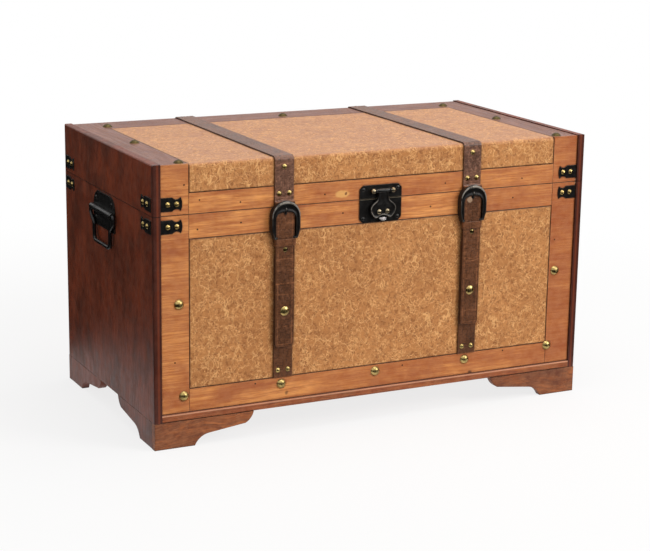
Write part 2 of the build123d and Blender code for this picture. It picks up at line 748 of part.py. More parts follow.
# Screws of the hinges, the latch and the handles
def hinge_screw_group(direction):
    screw = domed(screw_radius, screw_rise, hinge_screw_shank)
    height = split_height + direction * hinge_screw_distance
    pitch = hinge_length / hinge_screws
    first = -(hinge_screws - 1) / 2 * pitch
    return [
        placed(screw, (x + first + number * pitch, back_face + hinge_leaf_thickness, height), BACK)
        for x in hinge_places
        for number in range(hinge_screws)
    ]


def latch_screw_pair(height):
    screw = domed(screw_radius, screw_rise, latch_screw_shank)
    spread = latch_width / 2 - latch_screw_inset
    return [
        placed(screw, (latch_x + side * spread, ahead(latch_plate_thickness), height), FRONT)
        for side in (-1, 1)
    ]


handle_y = carcass_y + handle_shift


def handle_screw_group():
    screw = domed(screw_radius, screw_rise, handle_screw_shank)
    reach = handle_plate_width / 2 - handle_screw_inset
    heights = (handle_plate_bottom + handle_screw_inset, handle_plate_top - handle_screw_inset)
    face = outside_x + handle_plate_thickness
    return [
        placed(screw, (side * face, handle_y + along * reach, height), (side, 0, 0))
        for _, side in SIDES
        for along in (-1, 1)
        for height in heights
    ]


low_screws = latch_screw_pair(lower_plate_top - latch_lower_height + latch_screw_inset)
save("body_screws", hinge_screw_group(-1) + low_screws + handle_screw_group())
high_screws = latch_screw_pair(upper_plate_bottom + latch_upper_height - latch_screw_inset)
save("lid_screws", hinge_screw_group(1) + high_screws)


# End handles
def handle_plate(side):
    """An arched plate with a sleeve across it that holds both ends of the bail."""
    half = handle_plate_width / 2
    x = (side * outside_x, side * (outside_x + handle_plate_thickness))
    plate = block(x, (handle_y - half, handle_y + half), (handle_plate_bottom, handle_plate_top))
    corners = plate.edges().filter_by(Axis.X)
    plate = fillet(corners.group_by(Axis.Z)[-1], handle_plate_arch_radius)
    plate = fillet(plate.edges().filter_by(Axis.X).group_by(Axis.Z)[0], handle_plate_corner_radius)
    middle = Pos(side * (outside_x + sleeve_standoff), handle_y, handle_axis_height) * Rot(90, 0, 0)
    bore = bail_radius + bail_clearance
    plate += middle * Cylinder(bore + sleeve_wall, handle_plate_width)
    return plate - middle * Cylinder(bore, 2 * handle_plate_width)


def bail(side):
    """The drop handle: a round bar with both ends turned into the sleeve."""
    x = side * (outside_x + sleeve_standoff)
    half = handle_plate_width / 2
    arm = half + bail_side_gap + bail_radius
    low = handle_axis_height - bail_drop
    neck_end, turned = handle_axis_height - bail_neck, handle_axis_height - bail_turn_drop
    points = [(half - bail_tail, handle_axis_height), (arm, handle_axis_height), (arm, neck_end)]
    points += [(arm - bail_turn_in, turned), (arm - bail_turn_in, low)]
    points += [(-y, z) for y, z in reversed(points)]
    bends = [bail_eye_bend_radius, bail_neck_bend_radius, bail_neck_bend_radius, bail_bend_radius]
    path = FilletPolyline(*[(x, handle_y + y, z) for y, z in points], radius=bends + bends[::-1])
    section = Plane(origin=path @ 0, z_dir=path % 0) * Circle(bail_radius)
    return sweep(section, path=path)


for name, side in SIDES:
    save(f"handle_plate_{name}", handle_plate(side))
    save(f"handle_bail_{name}", bail(side))
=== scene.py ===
"""Finishes for a storage trunk: stained wood, crackled leatherette, embossed straps and old metal."""

import math

import bmesh
import bpy
import numpy as np
from bpy.props import FloatProperty, FloatVectorProperty, IntProperty, PointerProperty
from bpy.types import Operator, Panel, PropertyGroup
from mathutils import Matrix, Vector


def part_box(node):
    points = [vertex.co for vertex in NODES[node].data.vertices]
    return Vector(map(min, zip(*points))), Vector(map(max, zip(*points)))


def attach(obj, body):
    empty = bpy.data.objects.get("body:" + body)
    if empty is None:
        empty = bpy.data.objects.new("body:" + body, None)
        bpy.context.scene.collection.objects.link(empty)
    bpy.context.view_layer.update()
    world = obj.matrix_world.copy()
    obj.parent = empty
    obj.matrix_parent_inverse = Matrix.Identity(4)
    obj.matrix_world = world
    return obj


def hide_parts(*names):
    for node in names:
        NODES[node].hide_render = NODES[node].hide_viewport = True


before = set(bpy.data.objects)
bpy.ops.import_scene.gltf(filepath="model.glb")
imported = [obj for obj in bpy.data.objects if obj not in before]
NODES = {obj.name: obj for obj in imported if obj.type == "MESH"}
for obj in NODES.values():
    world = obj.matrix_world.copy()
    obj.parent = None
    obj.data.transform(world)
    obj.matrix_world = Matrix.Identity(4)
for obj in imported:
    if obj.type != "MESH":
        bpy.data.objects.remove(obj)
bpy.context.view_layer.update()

bl_info = {
    "name": "Storage trunk",
    "version": (1, 0, 0),
    "blender": (4, 5, 0),
    "location": "View3D > Sidebar > Trunk",
    "description": "Builds the wood, leather and metal of a storage trunk round its packed model",
    "category": "Object",
}

SIDES = (("left", -1), ("right", 1))
MM = 0.001


# Places that the pieces share, in millimetres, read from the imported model
def low(node):
    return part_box(node)[0] / MM


def high(node):
    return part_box(node)[1] / MM


STRIP_FACE = low("body_stile_left").y
SEAM = (high("body_stile_left").z + low("lid_stile_left").z) / 2
TOP_FACE = high("lid_batten_back").z
BACK_FACE = high("body_back_board").y
STRAP_WIDTH = high("body_strap_right").x - low("body_strap_right").x
STRAP_X = (high("body_strap_right").x + low("body_strap_right").x) / 2
HASP_X = (high("latch_hasp").x + low("latch_hasp").x) / 2


def ahead(distance):
    """The y of a surface that far in front of the strips."""
    return STRIP_FACE - distance


# Sizes and colours to change
def size(name, description, default, **limits):
    return FloatProperty(name=name, description=description, default=default, unit="LENGTH", **limits)


def tint(name, description, default):
    return FloatVectorProperty(
        name=name, description=description, default=default, subtype="COLOR_GAMMA", size=3, min=0.0, max=1.0
    )


def turn_of(name, description, degrees):
    turn = math.radians(degrees)
    return FloatProperty(name=name, description=description, default=turn, subtype="ANGLE", unit="ROTATION")


class TrunkWood(PropertyGroup):
    strip: tint("Strips", "Stained strips of the frame", (0.97, 0.665, 0.36))
    strip_streak: tint("Strip streaks", "Darker grain of the strips", (0.70, 0.385, 0.17))
    batten: tint("Battens", "Strips on top of the lid", (0.58, 0.36, 0.29))
    batten_streak: tint("Batten streaks", "Darker grain of the battens", (0.36, 0.17, 0.11))
    foot: tint("Feet", "Feet on the front and the nose of the floor", (0.72, 0.41, 0.20))
    foot_streak: tint("Foot streaks", "Darker grain of the feet", (0.40, 0.19, 0.09))
    stain: tint("Red stain", "Patches where the stain has soaked in", (0.60, 0.27, 0.11))
    end: tint("Ends", "Dark stain of the end panels", (0.54, 0.22, 0.08))
    end_streak: tint("End streaks", "Darker grain of the end panels", (0.34, 0.12, 0.045))
    worn: tint("Worn edges", "Wood where the stain has rubbed off", (0.86, 0.64, 0.46))
    bare: tint("Inside boards", "Unstained boards of the inside", (0.80, 0.66, 0.48))
    # Also the colour of painted shade: in the seam, along the covering's edges and where pieces meet or lie on a
    # surface.
    grime_and_shade: tint("Joint grime", "Dirt that has gathered in the joints", (0.17, 0.08, 0.045))
    edge_width: size("Edge wear", "How far wear reaches from an edge", 0.0012, min=0.0001, max=0.01)


class TrunkLeatherette(PropertyGroup):
    ground: tint("Ground", "Colour of the covering", (0.775, 0.52, 0.285))
    vein: tint("Veins", "Pale crackle of the covering", (0.95, 0.72, 0.46))
    speckle: tint("Speckles", "Dark specks of the covering", (0.54, 0.31, 0.12))
    # A painted sheen: the paler, pinker colour laid over the covering where it faces up.
    dust_and_sheen: tint("Dusty top", "Duller colour of the top of the lid", (0.72, 0.53, 0.46))
    crackle_size: size("Crackle", "Width of one curl of the crackle", 0.0045, min=0.001, max=0.03)
    swell: size("Unevenness", "How far the panel's face rises and falls", 0.0003, min=0.0, max=0.002)


class TrunkStraps(PropertyGroup):
    lid: tint("Over the lid", "Straps over the lid, dulled by dust", (0.45, 0.30, 0.225))
    hanging: tint("Hanging ends", "Handled leather of the hanging ends", (0.42, 0.245, 0.125))
    # The crease colour also paints shade on the straps' side faces.
    crease: tint("Creases", "Creases between the embossed scales", (0.15, 0.078, 0.04))
    emboss: size("Emboss depth", "Depth of the creases", 0.00035, min=0.0, max=0.001)
    scale_width: size("Scale width", "Width of one embossed scale", 0.0075, min=0.002, max=0.02)
    scale_height: size("Scale height", "Height of one embossed scale", 0.0042, min=0.002, max=0.02)


class TrunkMetal(PropertyGroup):
    iron: tint("Black metal", "Lacquered plates and buckles", (0.07, 0.062, 0.058))
    iron_edge: tint("Rubbed metal", "Edges where the lacquer is worn", (0.60, 0.57, 0.53))
    brass: tint("Nail heads", "Aged brass", (0.76, 0.66, 0.42))
    tarnish: tint("Tarnish", "Dark film on the brass", (0.19, 0.16, 0.08))
    steel: tint("Lift tab", "Bright plated metal", (0.44, 0.42, 0.42))


class TrunkStage(PropertyGroup):
    azimuth: turn_of("Azimuth", "Camera's turn to the left of straight on", 26.441)
    elevation: turn_of("Elevation", "How far the camera looks down", 14.048)
    roll: turn_of("Roll", "Camera's turn about its own line of sight", 0.844)
    place: FloatVectorProperty(
        name="Camera", description="Place of the camera", default=(-1.2912, -2.6088, 0.9207), subtype="XYZ",
        unit="LENGTH", size=3,
    )
    focal: FloatProperty(name="Focal length", description="In millimetres", default=98.37, min=10.0, max=400.0)
    sky: FloatProperty(name="Sky", description="Strength of the even light", default=0.40, min=0.0, max=3.0)
    overhead: FloatProperty(name="Overhead", description="Power of the overhead lamp", default=48.0, min=0.0)
    key: FloatProperty(name="Key", description="Power of the lamp at the front right", default=66.0, min=0.0)
    samples_of_wear: IntProperty(
        name="Wear samples", description="Rays that look for edges and joints", default=3, min=1, max=16
    )


GROUPS = (
    ("trunk_wood", TrunkWood),
    ("trunk_leatherette", TrunkLeatherette),
    ("trunk_straps", TrunkStraps),
    ("trunk_metal", TrunkMetal),
    ("trunk_stage", TrunkStage),
)


def linear(colour):
    """A colour as shown on screen, turned into the values that the shader takes."""
    parts = [c / 12.92 if c <= 0.04045 else ((c + 0.055) / 1.055) ** 2.4 for c in colour]
    return (*parts, 1.0)


# Shader nodes
class Value:
    """An output of a shader node that takes part in plain arithmetic."""

    def __init__(self, tree, socket):
        self.tree, self.socket = tree, socket

    def __add__(self, other):
        return calc(self, "ADD", other)

    def __sub__(self, other):
        return calc(self, "SUBTRACT", other)

    def __rsub__(self, other):
        return calc(other, "SUBTRACT", self)

    def __mul__(self, other):
        return calc(self, "MULTIPLY", other)

    def __rtruediv__(self, other):
        return calc(other, "DIVIDE", self)


class Outputs:
    """The outputs of a shader node, by name or by number."""

    def __init__(self, tree, sockets):
        self.tree, self.sockets = tree, sockets

    def __getitem__(self, key):
        return Value(self.tree, self.sockets[key])


def put(tree, kind, inputs=None, **settings):
    """Adds a node, whose inputs are plain values or outputs of other nodes, and gives its outputs."""
    node = tree.nodes.new("ShaderNode" + kind)
    for name, value in settings.items():
        setattr(node, name, value)
    for key, value in (inputs or {}).items():
        if isinstance(value, Value):
            tree.links.new(value.socket, node.inputs[key])
        else:
            node.inputs[key].default_value = value
    return Outputs(tree, node.outputs)


def calc(a, operation, b=0.0):
    tree = a.tree if isinstance(a, Value) else b.tree
    return put(tree, "Math", {0: a, 1: b}, operation=operation)[0]


def vector(a, operation, b):
    return put(a.tree, "VectorMath", {0: a, 1: b}, operation=operation)


def size_of(a):
    return put(a.tree, "VectorMath", {0: a}, operation="LENGTH")["Value"]


def axes(a):
    """The three parts of a place or a direction."""
    return put(a.tree, "SeparateXYZ", {0: a})


def fade(value, start, end):
    """0 at start and 1 at end, with a soft turn at both."""
    limits = {"Value": value, "From Min": start, "From Max": end}
    return put(value.tree, "MapRange", limits, interpolation_type="SMOOTHSTEP")[0]


def noise(place, scale, detail, seed, roughness=0.5):
    inputs = {"Vector": place, "W": seed, "Scale": scale, "Detail": detail, "Roughness": roughness}
    return put(place.tree, "TexNoise", inputs, noise_dimensions="4D")


def cloud(place, scale, detail=3.0, seed=0.0, roughness=0.5):
    return noise(place, scale, detail, seed, roughness)[0]


def cells(place, scale, seed):
    """The distance to the nearest of many scattered points."""
    return put(place.tree, "TexVoronoi", {"Vector": place, "Scale": scale, "W": seed}, voronoi_dimensions="4D")[0]


def stretched(place, scale):
    return vector(place, "MULTIPLY", scale)[0]


def bent(place, scale, amount, seed=0.0):
    """The same place, pushed about by a soft noise."""
    push = vector(noise(place, scale, 2.0, seed)[1], "SUBTRACT", (0.5, 0.5, 0.5))[0]
    push = put(place.tree, "VectorMath", {0: push, "Scale": amount}, operation="SCALE")[0]
    return vector(place, "ADD", push)[0]


def contour(value, level, width):
    """A thin line where a value passes a level."""
    return fade(calc(value - level, "ABSOLUTE"), width, 0.0)


def near_height(place, height, width):
    """1 at a height, fading out above and below."""
    return contour(axes(place)[2], height * MM, width * MM)


def patch(place, x, z, width, height):
    """An oval spot on the front."""
    spot = vector(place, "SUBTRACT", (x * MM, STRIP_FACE * MM, z * MM))[0]
    return fade(size_of(stretched(spot, (2000 / width, 0.0, 2000 / height))), 1.1, 0.7)


def use(name, place, **inputs):
    """Places one of the shared effects in a material."""
    return put(place.tree, "Group", {"Vector": place, **inputs}, node_tree=bpy.data.node_groups[name])


# Shared effects: each takes the place and its own inputs, and gives its outputs in order
def wood_grain(place, seed, swirl):
    """Streaks, pores and bands that run along x."""
    place = bent(place, 9.0, swirl, 3.0)
    streaks = cloud(stretched(place, (11.0, 230.0, 230.0)), 1.0, 6.0, seed, 0.66)
    pores = fade(cloud(stretched(place, (30.0, 650.0, 650.0)), 1.0, 3.0, seed, 0.6), 0.52, 0.36)
    bands = cloud(stretched(place, (13.0, 32.0, 32.0)), 1.0, 4.0, seed, 0.62)
    return fade(streaks, 0.3, 0.7), pores, fade(bands, 0.35, 0.65), streaks * 0.6 - pores


def stain_blotches(place, seed, width):
    """Patches of stain, small flecks and knots."""
    scale = 1.0 / width
    patches = cloud(stretched(bent(place, 30.0, 0.02, 7.0), (0.55, 1.0, 1.0)), scale, 3.0, seed, 0.55)
    mottle = cloud(place, scale * 4.0, 4.0, seed, 0.6)
    knots = cells(bent(place, 80.0, 0.004), 16.0, seed)
    return fade(patches, 0.42, 0.68), fade(mottle, 0.35, 0.65), fade(knots, 0.085, 0.03)


def worn_edges(place, width, evenness):
    """Edges and corners that have been rubbed."""
    samples = bpy.context.scene.trunk_stage.samples_of_wear
    rounded = put(place.tree, "Bevel", {"Radius": width}, samples=samples)[0]
    turn = vector(rounded, "DOT_PRODUCT", put(place.tree, "NewGeometry")["Normal"])["Value"]
    broken = fade(cloud(place, 90.0, 4.0, 2.0, 0.6) + evenness * 0.4, 0.48, 0.62)
    return (fade(turn, 0.995, 0.86) * broken,)


def joint_grime_and_shade(place, reach, strength):
    """Dirt in joints, and painted shade in joints and under the pieces that lie on a surface, where the place is
    closed in.
    """
    samples = bpy.context.scene.trunk_stage.samples_of_wear
    open_air = put(place.tree, "AmbientOcclusion", {"Distance": reach}, samples=samples)["AO"]
    return (fade(open_air + cloud(place, 160.0) * 0.3, 1.0, 0.55) * strength,)


def pale_crackle(place, width):
    """Curls, long veins and specks of a crackled covering."""
    scale = 1.0 / width
    curly = bent(place, 260.0, 0.004, 1.0)
    first = contour(cloud(curly, scale * 0.55, 2.0, 1.3), 0.5, 0.03)
    second = contour(cloud(curly, scale * 0.42, 2.0, 5.1), 0.48, 0.026)
    curls = calc(first, "MAXIMUM", second) * fade(cloud(curly, 60.0, 2.0, 8.0), 0.3, 0.6)
    tall = stretched(bent(place, 40.0, 0.03, 4.0), (1.0, 1.0, 0.45))
    first = contour(cloud(tall, scale * 0.22, 1.0, 9.0), 0.5, 0.010)
    second = contour(cloud(tall, scale * 0.17, 1.0, 14.0), 0.53, 0.009)
    veins = calc(first, "MAXIMUM", second) * fade(cloud(tall, 60.0, 2.0, 11.0), 0.45, 0.56)
    specks = fade(cloud(curly, scale, 4.0, 21.0, 0.65), 0.48, 0.64)
    patches = fade(cloud(place, 22.0, 4.0, 17.0, 0.6), 0.36, 0.66)
    return curls, veins, specks, patches, curls * 0.6 + veins - specks * 0.7


def metal_film(place, scale):
    """Tarnish, fine scratches and hammered unevenness of old metal."""
    film = cloud(bent(place, 200.0, 0.004), scale, 4.0, 3.0, 0.6)
    scratches = cloud(stretched(place, (300.0, 300.0, 2600.0)), 1.0, 2.0, 6.0)
    return fade(film, 0.4, 0.68), fade(scratches, 0.62, 0.72), cloud(place, scale * 1.6, 2.0, 12.0)


EFFECTS = (
    (wood_grain, {"Seed": 0.0, "Swirl": 0.006}, ("Streaks", "Pores", "Bands", "Height")),
    (stain_blotches, {"Seed": 0.0, "Width": 0.04}, ("Patches", "Mottle", "Knots")),
    (worn_edges, {"Width": 0.001, "Evenness": 0.5}, ("Wear",)),
    (joint_grime_and_shade, {"Reach": 0.004, "Strength": 1.0}, ("Shade_and_grime",)),
    (pale_crackle, {"Width": 0.0045}, ("Curls", "Veins", "Specks", "Patches", "Height")),
    (metal_film, {"Scale": 150.0}, ("Tarnish", "Scratches", "Height")),
)


def make_effect(build, inputs, outputs):
    """Turns one of the effects into a node group with named sockets."""
    tree = bpy.data.node_groups.new(build.__name__, "ShaderNodeTree")
    tree.interface.new_socket("Vector", in_out="INPUT", socket_type="NodeSocketVector")
    for label, default in inputs.items():
        socket = tree.interface.new_socket(label, in_out="INPUT", socket_type="NodeSocketFloat")
        socket.default_value = default
    for label in outputs:
        tree.interface.new_socket(label, in_out="OUTPUT", socket_type="NodeSocketFloat")
    given = Outputs(tree, tree.nodes.new("NodeGroupInput").outputs)
    result = tree.nodes.new("NodeGroupOutput").inputs
    for label, value in zip(outputs, build(*(given[label] for label in ("Vector", *inputs)))):
        tree.links.new(value.socket, result[label])


# Materials
class Surface:
    """A material whose colour is laid on in coats."""

    def __init__(self, name, ground=(1.0, 1.0, 1.0)):
        self.material = bpy.data.materials.new(name)
        self.material.use_nodes = True
        self.tree = self.material.node_tree
        self.shader = self.tree.nodes["Principled BSDF"]
        self.colour = linear(ground)
        self.place = put(self.tree, "TexCoord")["Object"]

    def coat(self, mask, shade, strength=None):
        """Lays a colour over the others where the mask shows."""
        self.colour = mixed(mask if strength is None else mask * strength, self.colour, linear(shade))

    def mark(self, name):
        """How strongly the mesh is marked there."""
        return put(self.tree, "Attribute", attribute_name=name)["Fac"]

    def set(self, **constants):
        for name, value in constants.items():
            self.shader.inputs[name.replace("_", " ")].default_value = value

    def finish(self, rough, height, depth, specular):
        """Joins the colour, roughness and relief to the shader."""
        bump = put(self.tree, "Bump", {"Height": height, "Distance": depth, "Strength": 1.0})[0]
        for name, value in (("Base Color", self.colour), ("Roughness", rough), ("Normal", bump)):
            self.tree.links.new(value.socket, self.shader.inputs[name])
        self.set(Specular_IOR_Level=specular)


def mixed(factor, a, b):
    return put(factor.tree, "Mix", {0: factor, 6: a, 7: b}, data_type="RGBA")[2]


def along(place, axis):
    """Turns places so that the grain, which runs along x, follows an axis."""
    turn = {"X": (0, 0, 0), "Y": (0, 0, math.pi / 2), "Z": (0, math.pi / 2, 0)}[axis]
    return put(place.tree, "Mapping", {"Vector": place, "Rotation": turn})[0]


def stained_wood(
    name, axis, ground, streak, depth=0.0, patchy=0.5, gloss=0.42, seed=0.0, wear=0.7, mottle=0.12, knots=0.75,
    spots=(), relief=0.00018, blot=None, banding=0.5, darker_towards_right=0.0, swirl=0.006, lines=(), front_edge=False,
    streaky=0.85, flecks=0.0,
):
    """Stained and lacquered wood: depth is how much darker and redder it has been stained."""
    colours = bpy.context.scene.trunk_wood
    stain = blot or colours.stain
    skin = Surface(name, ground)
    place = skin.place
    x, y = axes(place)[0], axes(place)[1]
    shift = put(skin.tree, "ObjectInfo")["Random"] * 40.0 + seed
    turned = along(place, axis)
    grain = use("wood_grain", turned, Seed=shift, Swirl=swirl)
    blots = use("stain_blotches", turned, Seed=shift, Width=0.045)
    edges = use("worn_edges", place, Width=colours.edge_width, Evenness=0.55)["Wear"]
    skin.coat(grain["Streaks"], streak, streaky)
    skin.coat(grain["Bands"], stain, banding)
    skin.coat(blots["Patches"], stain, patchy)
    # Darker and redder towards the right end of the front.
    skin.coat(fade(x, 0.05, 0.42) * darker_towards_right + depth, stain)
    skin.coat(grain["Pores"], streak, 0.65)
    skin.coat(blots["Mottle"], colours.worn, mottle)
    skin.coat(blots["Knots"], colours.grime_and_shade, knots)
    for *spot, shade, strength in spots:
        skin.coat(patch(bent(place, 90.0, 0.006), *spot), shade, strength)
    skin.coat(use("worn_edges", place, Width=0.0016, Evenness=1.0)["Wear"], colours.grime_and_shade, 0.75)
    skin.coat(edges * fade(cloud(place, 38.0, 3.0, 31.0), 0.5, 0.62), colours.worn, wear)
    # Grime and painted shade where pieces meet or lie on the wood.
    skin.coat(use("joint_grime_and_shade", place, Reach=0.003, Strength=0.9)["Shade_and_grime"], colours.grime_and_shade)
    for height, reach, shade, strength in lines:
        skin.coat(near_height(place, height, reach), shade, strength)
    if flecks:
        skin.coat(fade(cells(bent(place, 120.0, 0.01), 13.0, 4.0), 0.09, 0.02), colours.stain, flecks)
    if front_edge:
        skin.coat(fade(y, ahead(-4.0) * MM, ahead(-1.5) * MM), (0.20, 0.06, 0.03), 0.65)
        # Painted highlight: an orange stripe down the middle of the end panels' front edges.
        edge_highlight_band = contour(calc(x, "ABSOLUTE"), high("body_side_right").x * MM - 0.0075, 0.003)
        skin.coat(edge_highlight_band * fade(y, ahead(-2.0) * MM, ahead(-1.0) * MM), (0.60, 0.25, 0.07), 0.4)
    # Painted shade in the gap at the seam between lid and body.
    skin.coat(near_height(place, SEAM, 1.1), colours.grime_and_shade, 0.85)
    rough = grain["Streaks"] * 0.12 + gloss + blots["Mottle"] * 0.08
    skin.finish(rough, grain["Height"], relief, 0.4)


def leatherette():
    """Camel covering with a pale crackle and dark specks, with a painted sheen that makes it paler and pinker where
    it faces up.
    """
    colours = bpy.context.scene.trunk_leatherette
    skin = Surface("crackled_leatherette", colours.ground)
    crackle = use("pale_crackle", skin.place, Width=colours.crackle_size)
    upward = fade(axes(put(skin.tree, "TexCoord")["Normal"])[2], 0.5, 0.9)
    skin.coat(crackle["Patches"], colours.speckle, 0.3)
    # Painted sheen: fewer specks and a paler, pinker colour where the covering faces up.
    skin.coat(crackle["Specks"] * (0.72 - upward * 0.4), colours.speckle)
    skin.coat(upward, colours.dust_and_sheen, 0.35)
    skin.coat(crackle["Curls"], colours.vein, 0.8)
    skin.coat(crackle["Veins"], colours.vein, 0.85)
    # Grime and painted shade: darker within 9 mm of the straps and strips that stand on the covering, and a dark
    # painted line of shade along the covering's own edges.
    grime_and_shade_mask = use("joint_grime_and_shade", skin.place, Reach=0.009, Strength=0.95)["Shade_and_grime"]
    skin.coat(calc(grime_and_shade_mask, "MAXIMUM", skin.mark("edge") * 0.9), bpy.context.scene.trunk_wood.grime_and_shade)
    skin.finish(crackle["Specks"] * 0.15 + 0.46, crackle["Height"], 0.00025, 0.45)


def strap_leather(name, ground, dust_and_sheen, painted_glints=()):
    """Embossed leather: the creases, the painted shade on the strap sides, the rubs and the painted highlights come
    from the mesh; the scuffs, dust and painted glints from the surface.
    """
    dark = bpy.context.scene.trunk_straps.crease
    pale = [min(1.0, c * 1.45 + 0.06) for c in ground]
    skin = Surface(name, ground)
    place = skin.place
    scuff = cloud(bent(place, 120.0, 0.01), 170.0, 4.0, 2.0, 0.6)
    skin.coat(fade(cloud(place, 26.0, 3.0, 9.0), 0.35, 0.7), dark, 0.45)
    skin.coat(fade(scuff, 0.55, 0.75), pale, dust_and_sheen)
    # Creases, and painted shade on the straps' side faces.
    skin.coat(skin.mark("crease"), dark, 0.7)
    # Pale rubs, together with painted highlights on the ridges beside the creases and on the roll at the top of each
    # hanging end.
    skin.coat(skin.mark("rub") * fade(scuff, 0.35, 0.6), pale)
    # Pale rubbed edges, which also paint the highlight along the straps' rounded edges.
    skin.coat(use("worn_edges", place, Width=0.0012, Evenness=0.7)["Wear"], pale, 0.5)
    # Painted glints: pale patches where the leather bulges out and catches the light.
    for spot in painted_glints:
        skin.coat(patch(bent(place, 150.0, 0.004), *spot), (0.70, 0.58, 0.47), 0.8)
    # Grime and painted shade in joints and where the strap lies on the wood.
    skin.coat(use("joint_grime_and_shade", place, Reach=0.003, Strength=0.7)["Shade_and_grime"], (0.06, 0.03, 0.02))
    height = cloud(place, 1400.0, 2.0, 5.0) + scuff * 0.8
    skin.finish(fade(scuff, 0.4, 0.7) * 0.16 + 0.36, height, 0.0001, 0.45)


def metal(name, ground, worn, metallic, gloss, film=0.6, wear=0.6, specular=0.3, split=0.0, dull=None):
    """Old metal with tarnish in its hollows and rubbed edges: split is a painted highlight along the plate edges at
    the seam, dull a dark height.
    """
    tarnish = bpy.context.scene.trunk_metal.tarnish
    skin = Surface(name, ground)
    place = skin.place
    old = use("metal_film", place, Scale=150.0)
    skin.coat(old["Tarnish"], tarnish if metallic > 0.9 else [c * 0.6 for c in ground], film)
    skin.coat(old["Scratches"], worn, 0.12)
    skin.coat(use("worn_edges", place, Width=0.0006, Evenness=0.4)["Wear"], worn, wear)
    # Rubbed lacquer, and the painted highlights marked on the buckles' beads and prongs and along the top of the
    # hasp's knuckle.
    skin.coat(skin.mark("rub") * fade(cloud(place, 120.0, 3.0, 4.0), 0.3, 0.5), worn)
    # Painted highlight: a pale line along the edges of the plates at the seam.
    if split:
        skin.coat(near_height(place, SEAM, 1.3), (0.80, 0.76, 0.62), split)
    if dull:
        skin.coat(near_height(place, dull, 7.0), tarnish, 0.9)
    # Grime and painted shade in the hollows and where the metal meets the wood.
    grime_and_shade_mask = use("joint_grime_and_shade", place, Reach=0.0025, Strength=0.85)["Shade_and_grime"]
    skin.coat(grime_and_shade_mask, [c * 0.25 for c in tarnish])
    skin.set(Metallic=metallic)
    skin.finish(old["Tarnish"] * 0.18 + gloss, old["Height"], 0.00012, specular)


def finish_of(name):
    return bpy.data.materials[name]


def give(nodes, name):
    """Puts one finish on CAD nodes."""
    for node in nodes:
        for slot in NODES[node].material_slots:
            slot.material = finish_of(name)


def soften(nodes, width):
    """Eases the sharp edges of metal that stays as the CAD has it."""
    for node in nodes:
        weld = NODES[node].modifiers.new("weld", "WELD")
        weld.merge_threshold = 1e-6
        bevel = NODES[node].modifiers.new("ease", "BEVEL")
        bevel.width = width
        bevel.segments = 2
        bevel.limit_method = "ANGLE"
        bevel.angle_limit = math.radians(40)
        bevel.harden_normals = True


# Meshes
def turn_outward(mesh):
    """Makes every face of a closed skin look outward."""
    skin = bmesh.new()
    skin.from_mesh(mesh)
    bmesh.ops.recalc_face_normals(skin, faces=skin.faces)
    skin.to_mesh(mesh)
    skin.free()


def piece(name, points, faces, finish, body, slot, replaced=(), crisp=None, **marks):
    """A finished piece from points in millimetres, riding on a body, with marks that its finish reads.

    Edges that turn by more than crisp, in degrees, stay sharp.
    """
    mesh = bpy.data.meshes.new(name)
    mesh.from_pydata((np.asarray(points, float) * MM).tolist(), [], faces)
    mesh.validate()
    turn_outward(mesh)
    mesh.polygons.foreach_set("use_smooth", [True] * len(mesh.polygons))
    mesh.materials.append(finish_of(finish))
    for mark, amounts in marks.items():
        values = mesh.attributes.new(mark, "FLOAT", "POINT")
        values.data.foreach_set("value", np.asarray(amounts, np.float32))
    thing = bpy.data.objects.new(name, mesh)
    bpy.context.scene.collection.objects.link(thing)
    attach(thing, body)
    if replaced:
        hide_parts(*replaced)
    if crisp:
        mesh.set_sharp_from_angle(angle=math.radians(crisp))


def lofted(sections, closed=False):
    """Points and faces of a skin over equally long closed sections."""
    sections = np.asarray(sections, float)
    count, ring = sections.shape[:2]
    faces = []
    for i in range(count if closed else count - 1):
        a, b = i * ring, ((i + 1) % count) * ring
        for j in range(ring):
            k = (j + 1) % ring
            faces.append((a + j, a + k, b + k, b + j))
    if not closed:
        faces.append(tuple(reversed(range(ring))))
        faces.append(tuple(range((count - 1) * ring, count * ring)))
    return sections.reshape(-1, 3), faces


def merged(parts):
    """Several skins as one."""
    points, faces = [], []
    for part_points, part_faces in parts:
        start = sum(len(p) for p in points)
        points.append(np.asarray(part_points, float))
        faces += [tuple(start + i for i in face) for face in part_faces]
    return np.concatenate(points), faces


def lathe(x, level, z, profile, count, start=0.0):
    """A round skin that faces the front, from pairs of a radius and how far it stands out."""
    turns = math.radians(start) + np.linspace(0, 2 * math.pi, count, endpoint=False)
    return lofted([
        [(x + radius * math.cos(a), ahead(level + out), z + radius * math.sin(a)) for a in turns]
        for radius, out in profile
    ])


def dome(radius, rise, collar=0.35):
    """The profile of a round head with a small flat collar."""
    sphere = (radius**2 + rise**2) / (2 * rise)
    widest = math.asin(min(1.0, radius / sphere))
    profile = [(radius * 0.97, -0.4), (radius, 0.0), (radius, collar)]
    for share_up in (0.93, 0.82, 0.68, 0.52, 0.35, 0.18, 0.05):
        a = widest * share_up
        lift = 1 - (1 - math.cos(a)) / (1 - math.cos(widest))
        profile.append((sphere * math.sin(a), collar + (rise - collar) * lift))
    return profile


def scales(across, down, seed, width, height):
    """How deep in a crease each place lies, from 0 on a scale to 1 between two."""
    jitter = np.random.default_rng(seed).random((64, 64, 2))
    u, v = np.asarray(across) / width, np.asarray(down) / height
    column, row = np.floor(u), np.floor(v)
    nearest = np.full(u.shape, 9.0)
    second = np.full(u.shape, 9.0)
    for i in (-1, 0, 1):
        for j in (-1, 0, 1):
            a, b = column + i, row + j
            push = jitter[a.astype(int) % 64, b.astype(int) % 64]
            away = np.hypot(u - a - 0.15 - 0.7 * push[..., 0], v - b - 0.2 - 0.6 * push[..., 1])
            second = np.minimum(second, np.maximum(nearest, away))
            nearest = np.minimum(nearest, away)
    return np.exp(-(((second - nearest) / 0.17) ** 2))


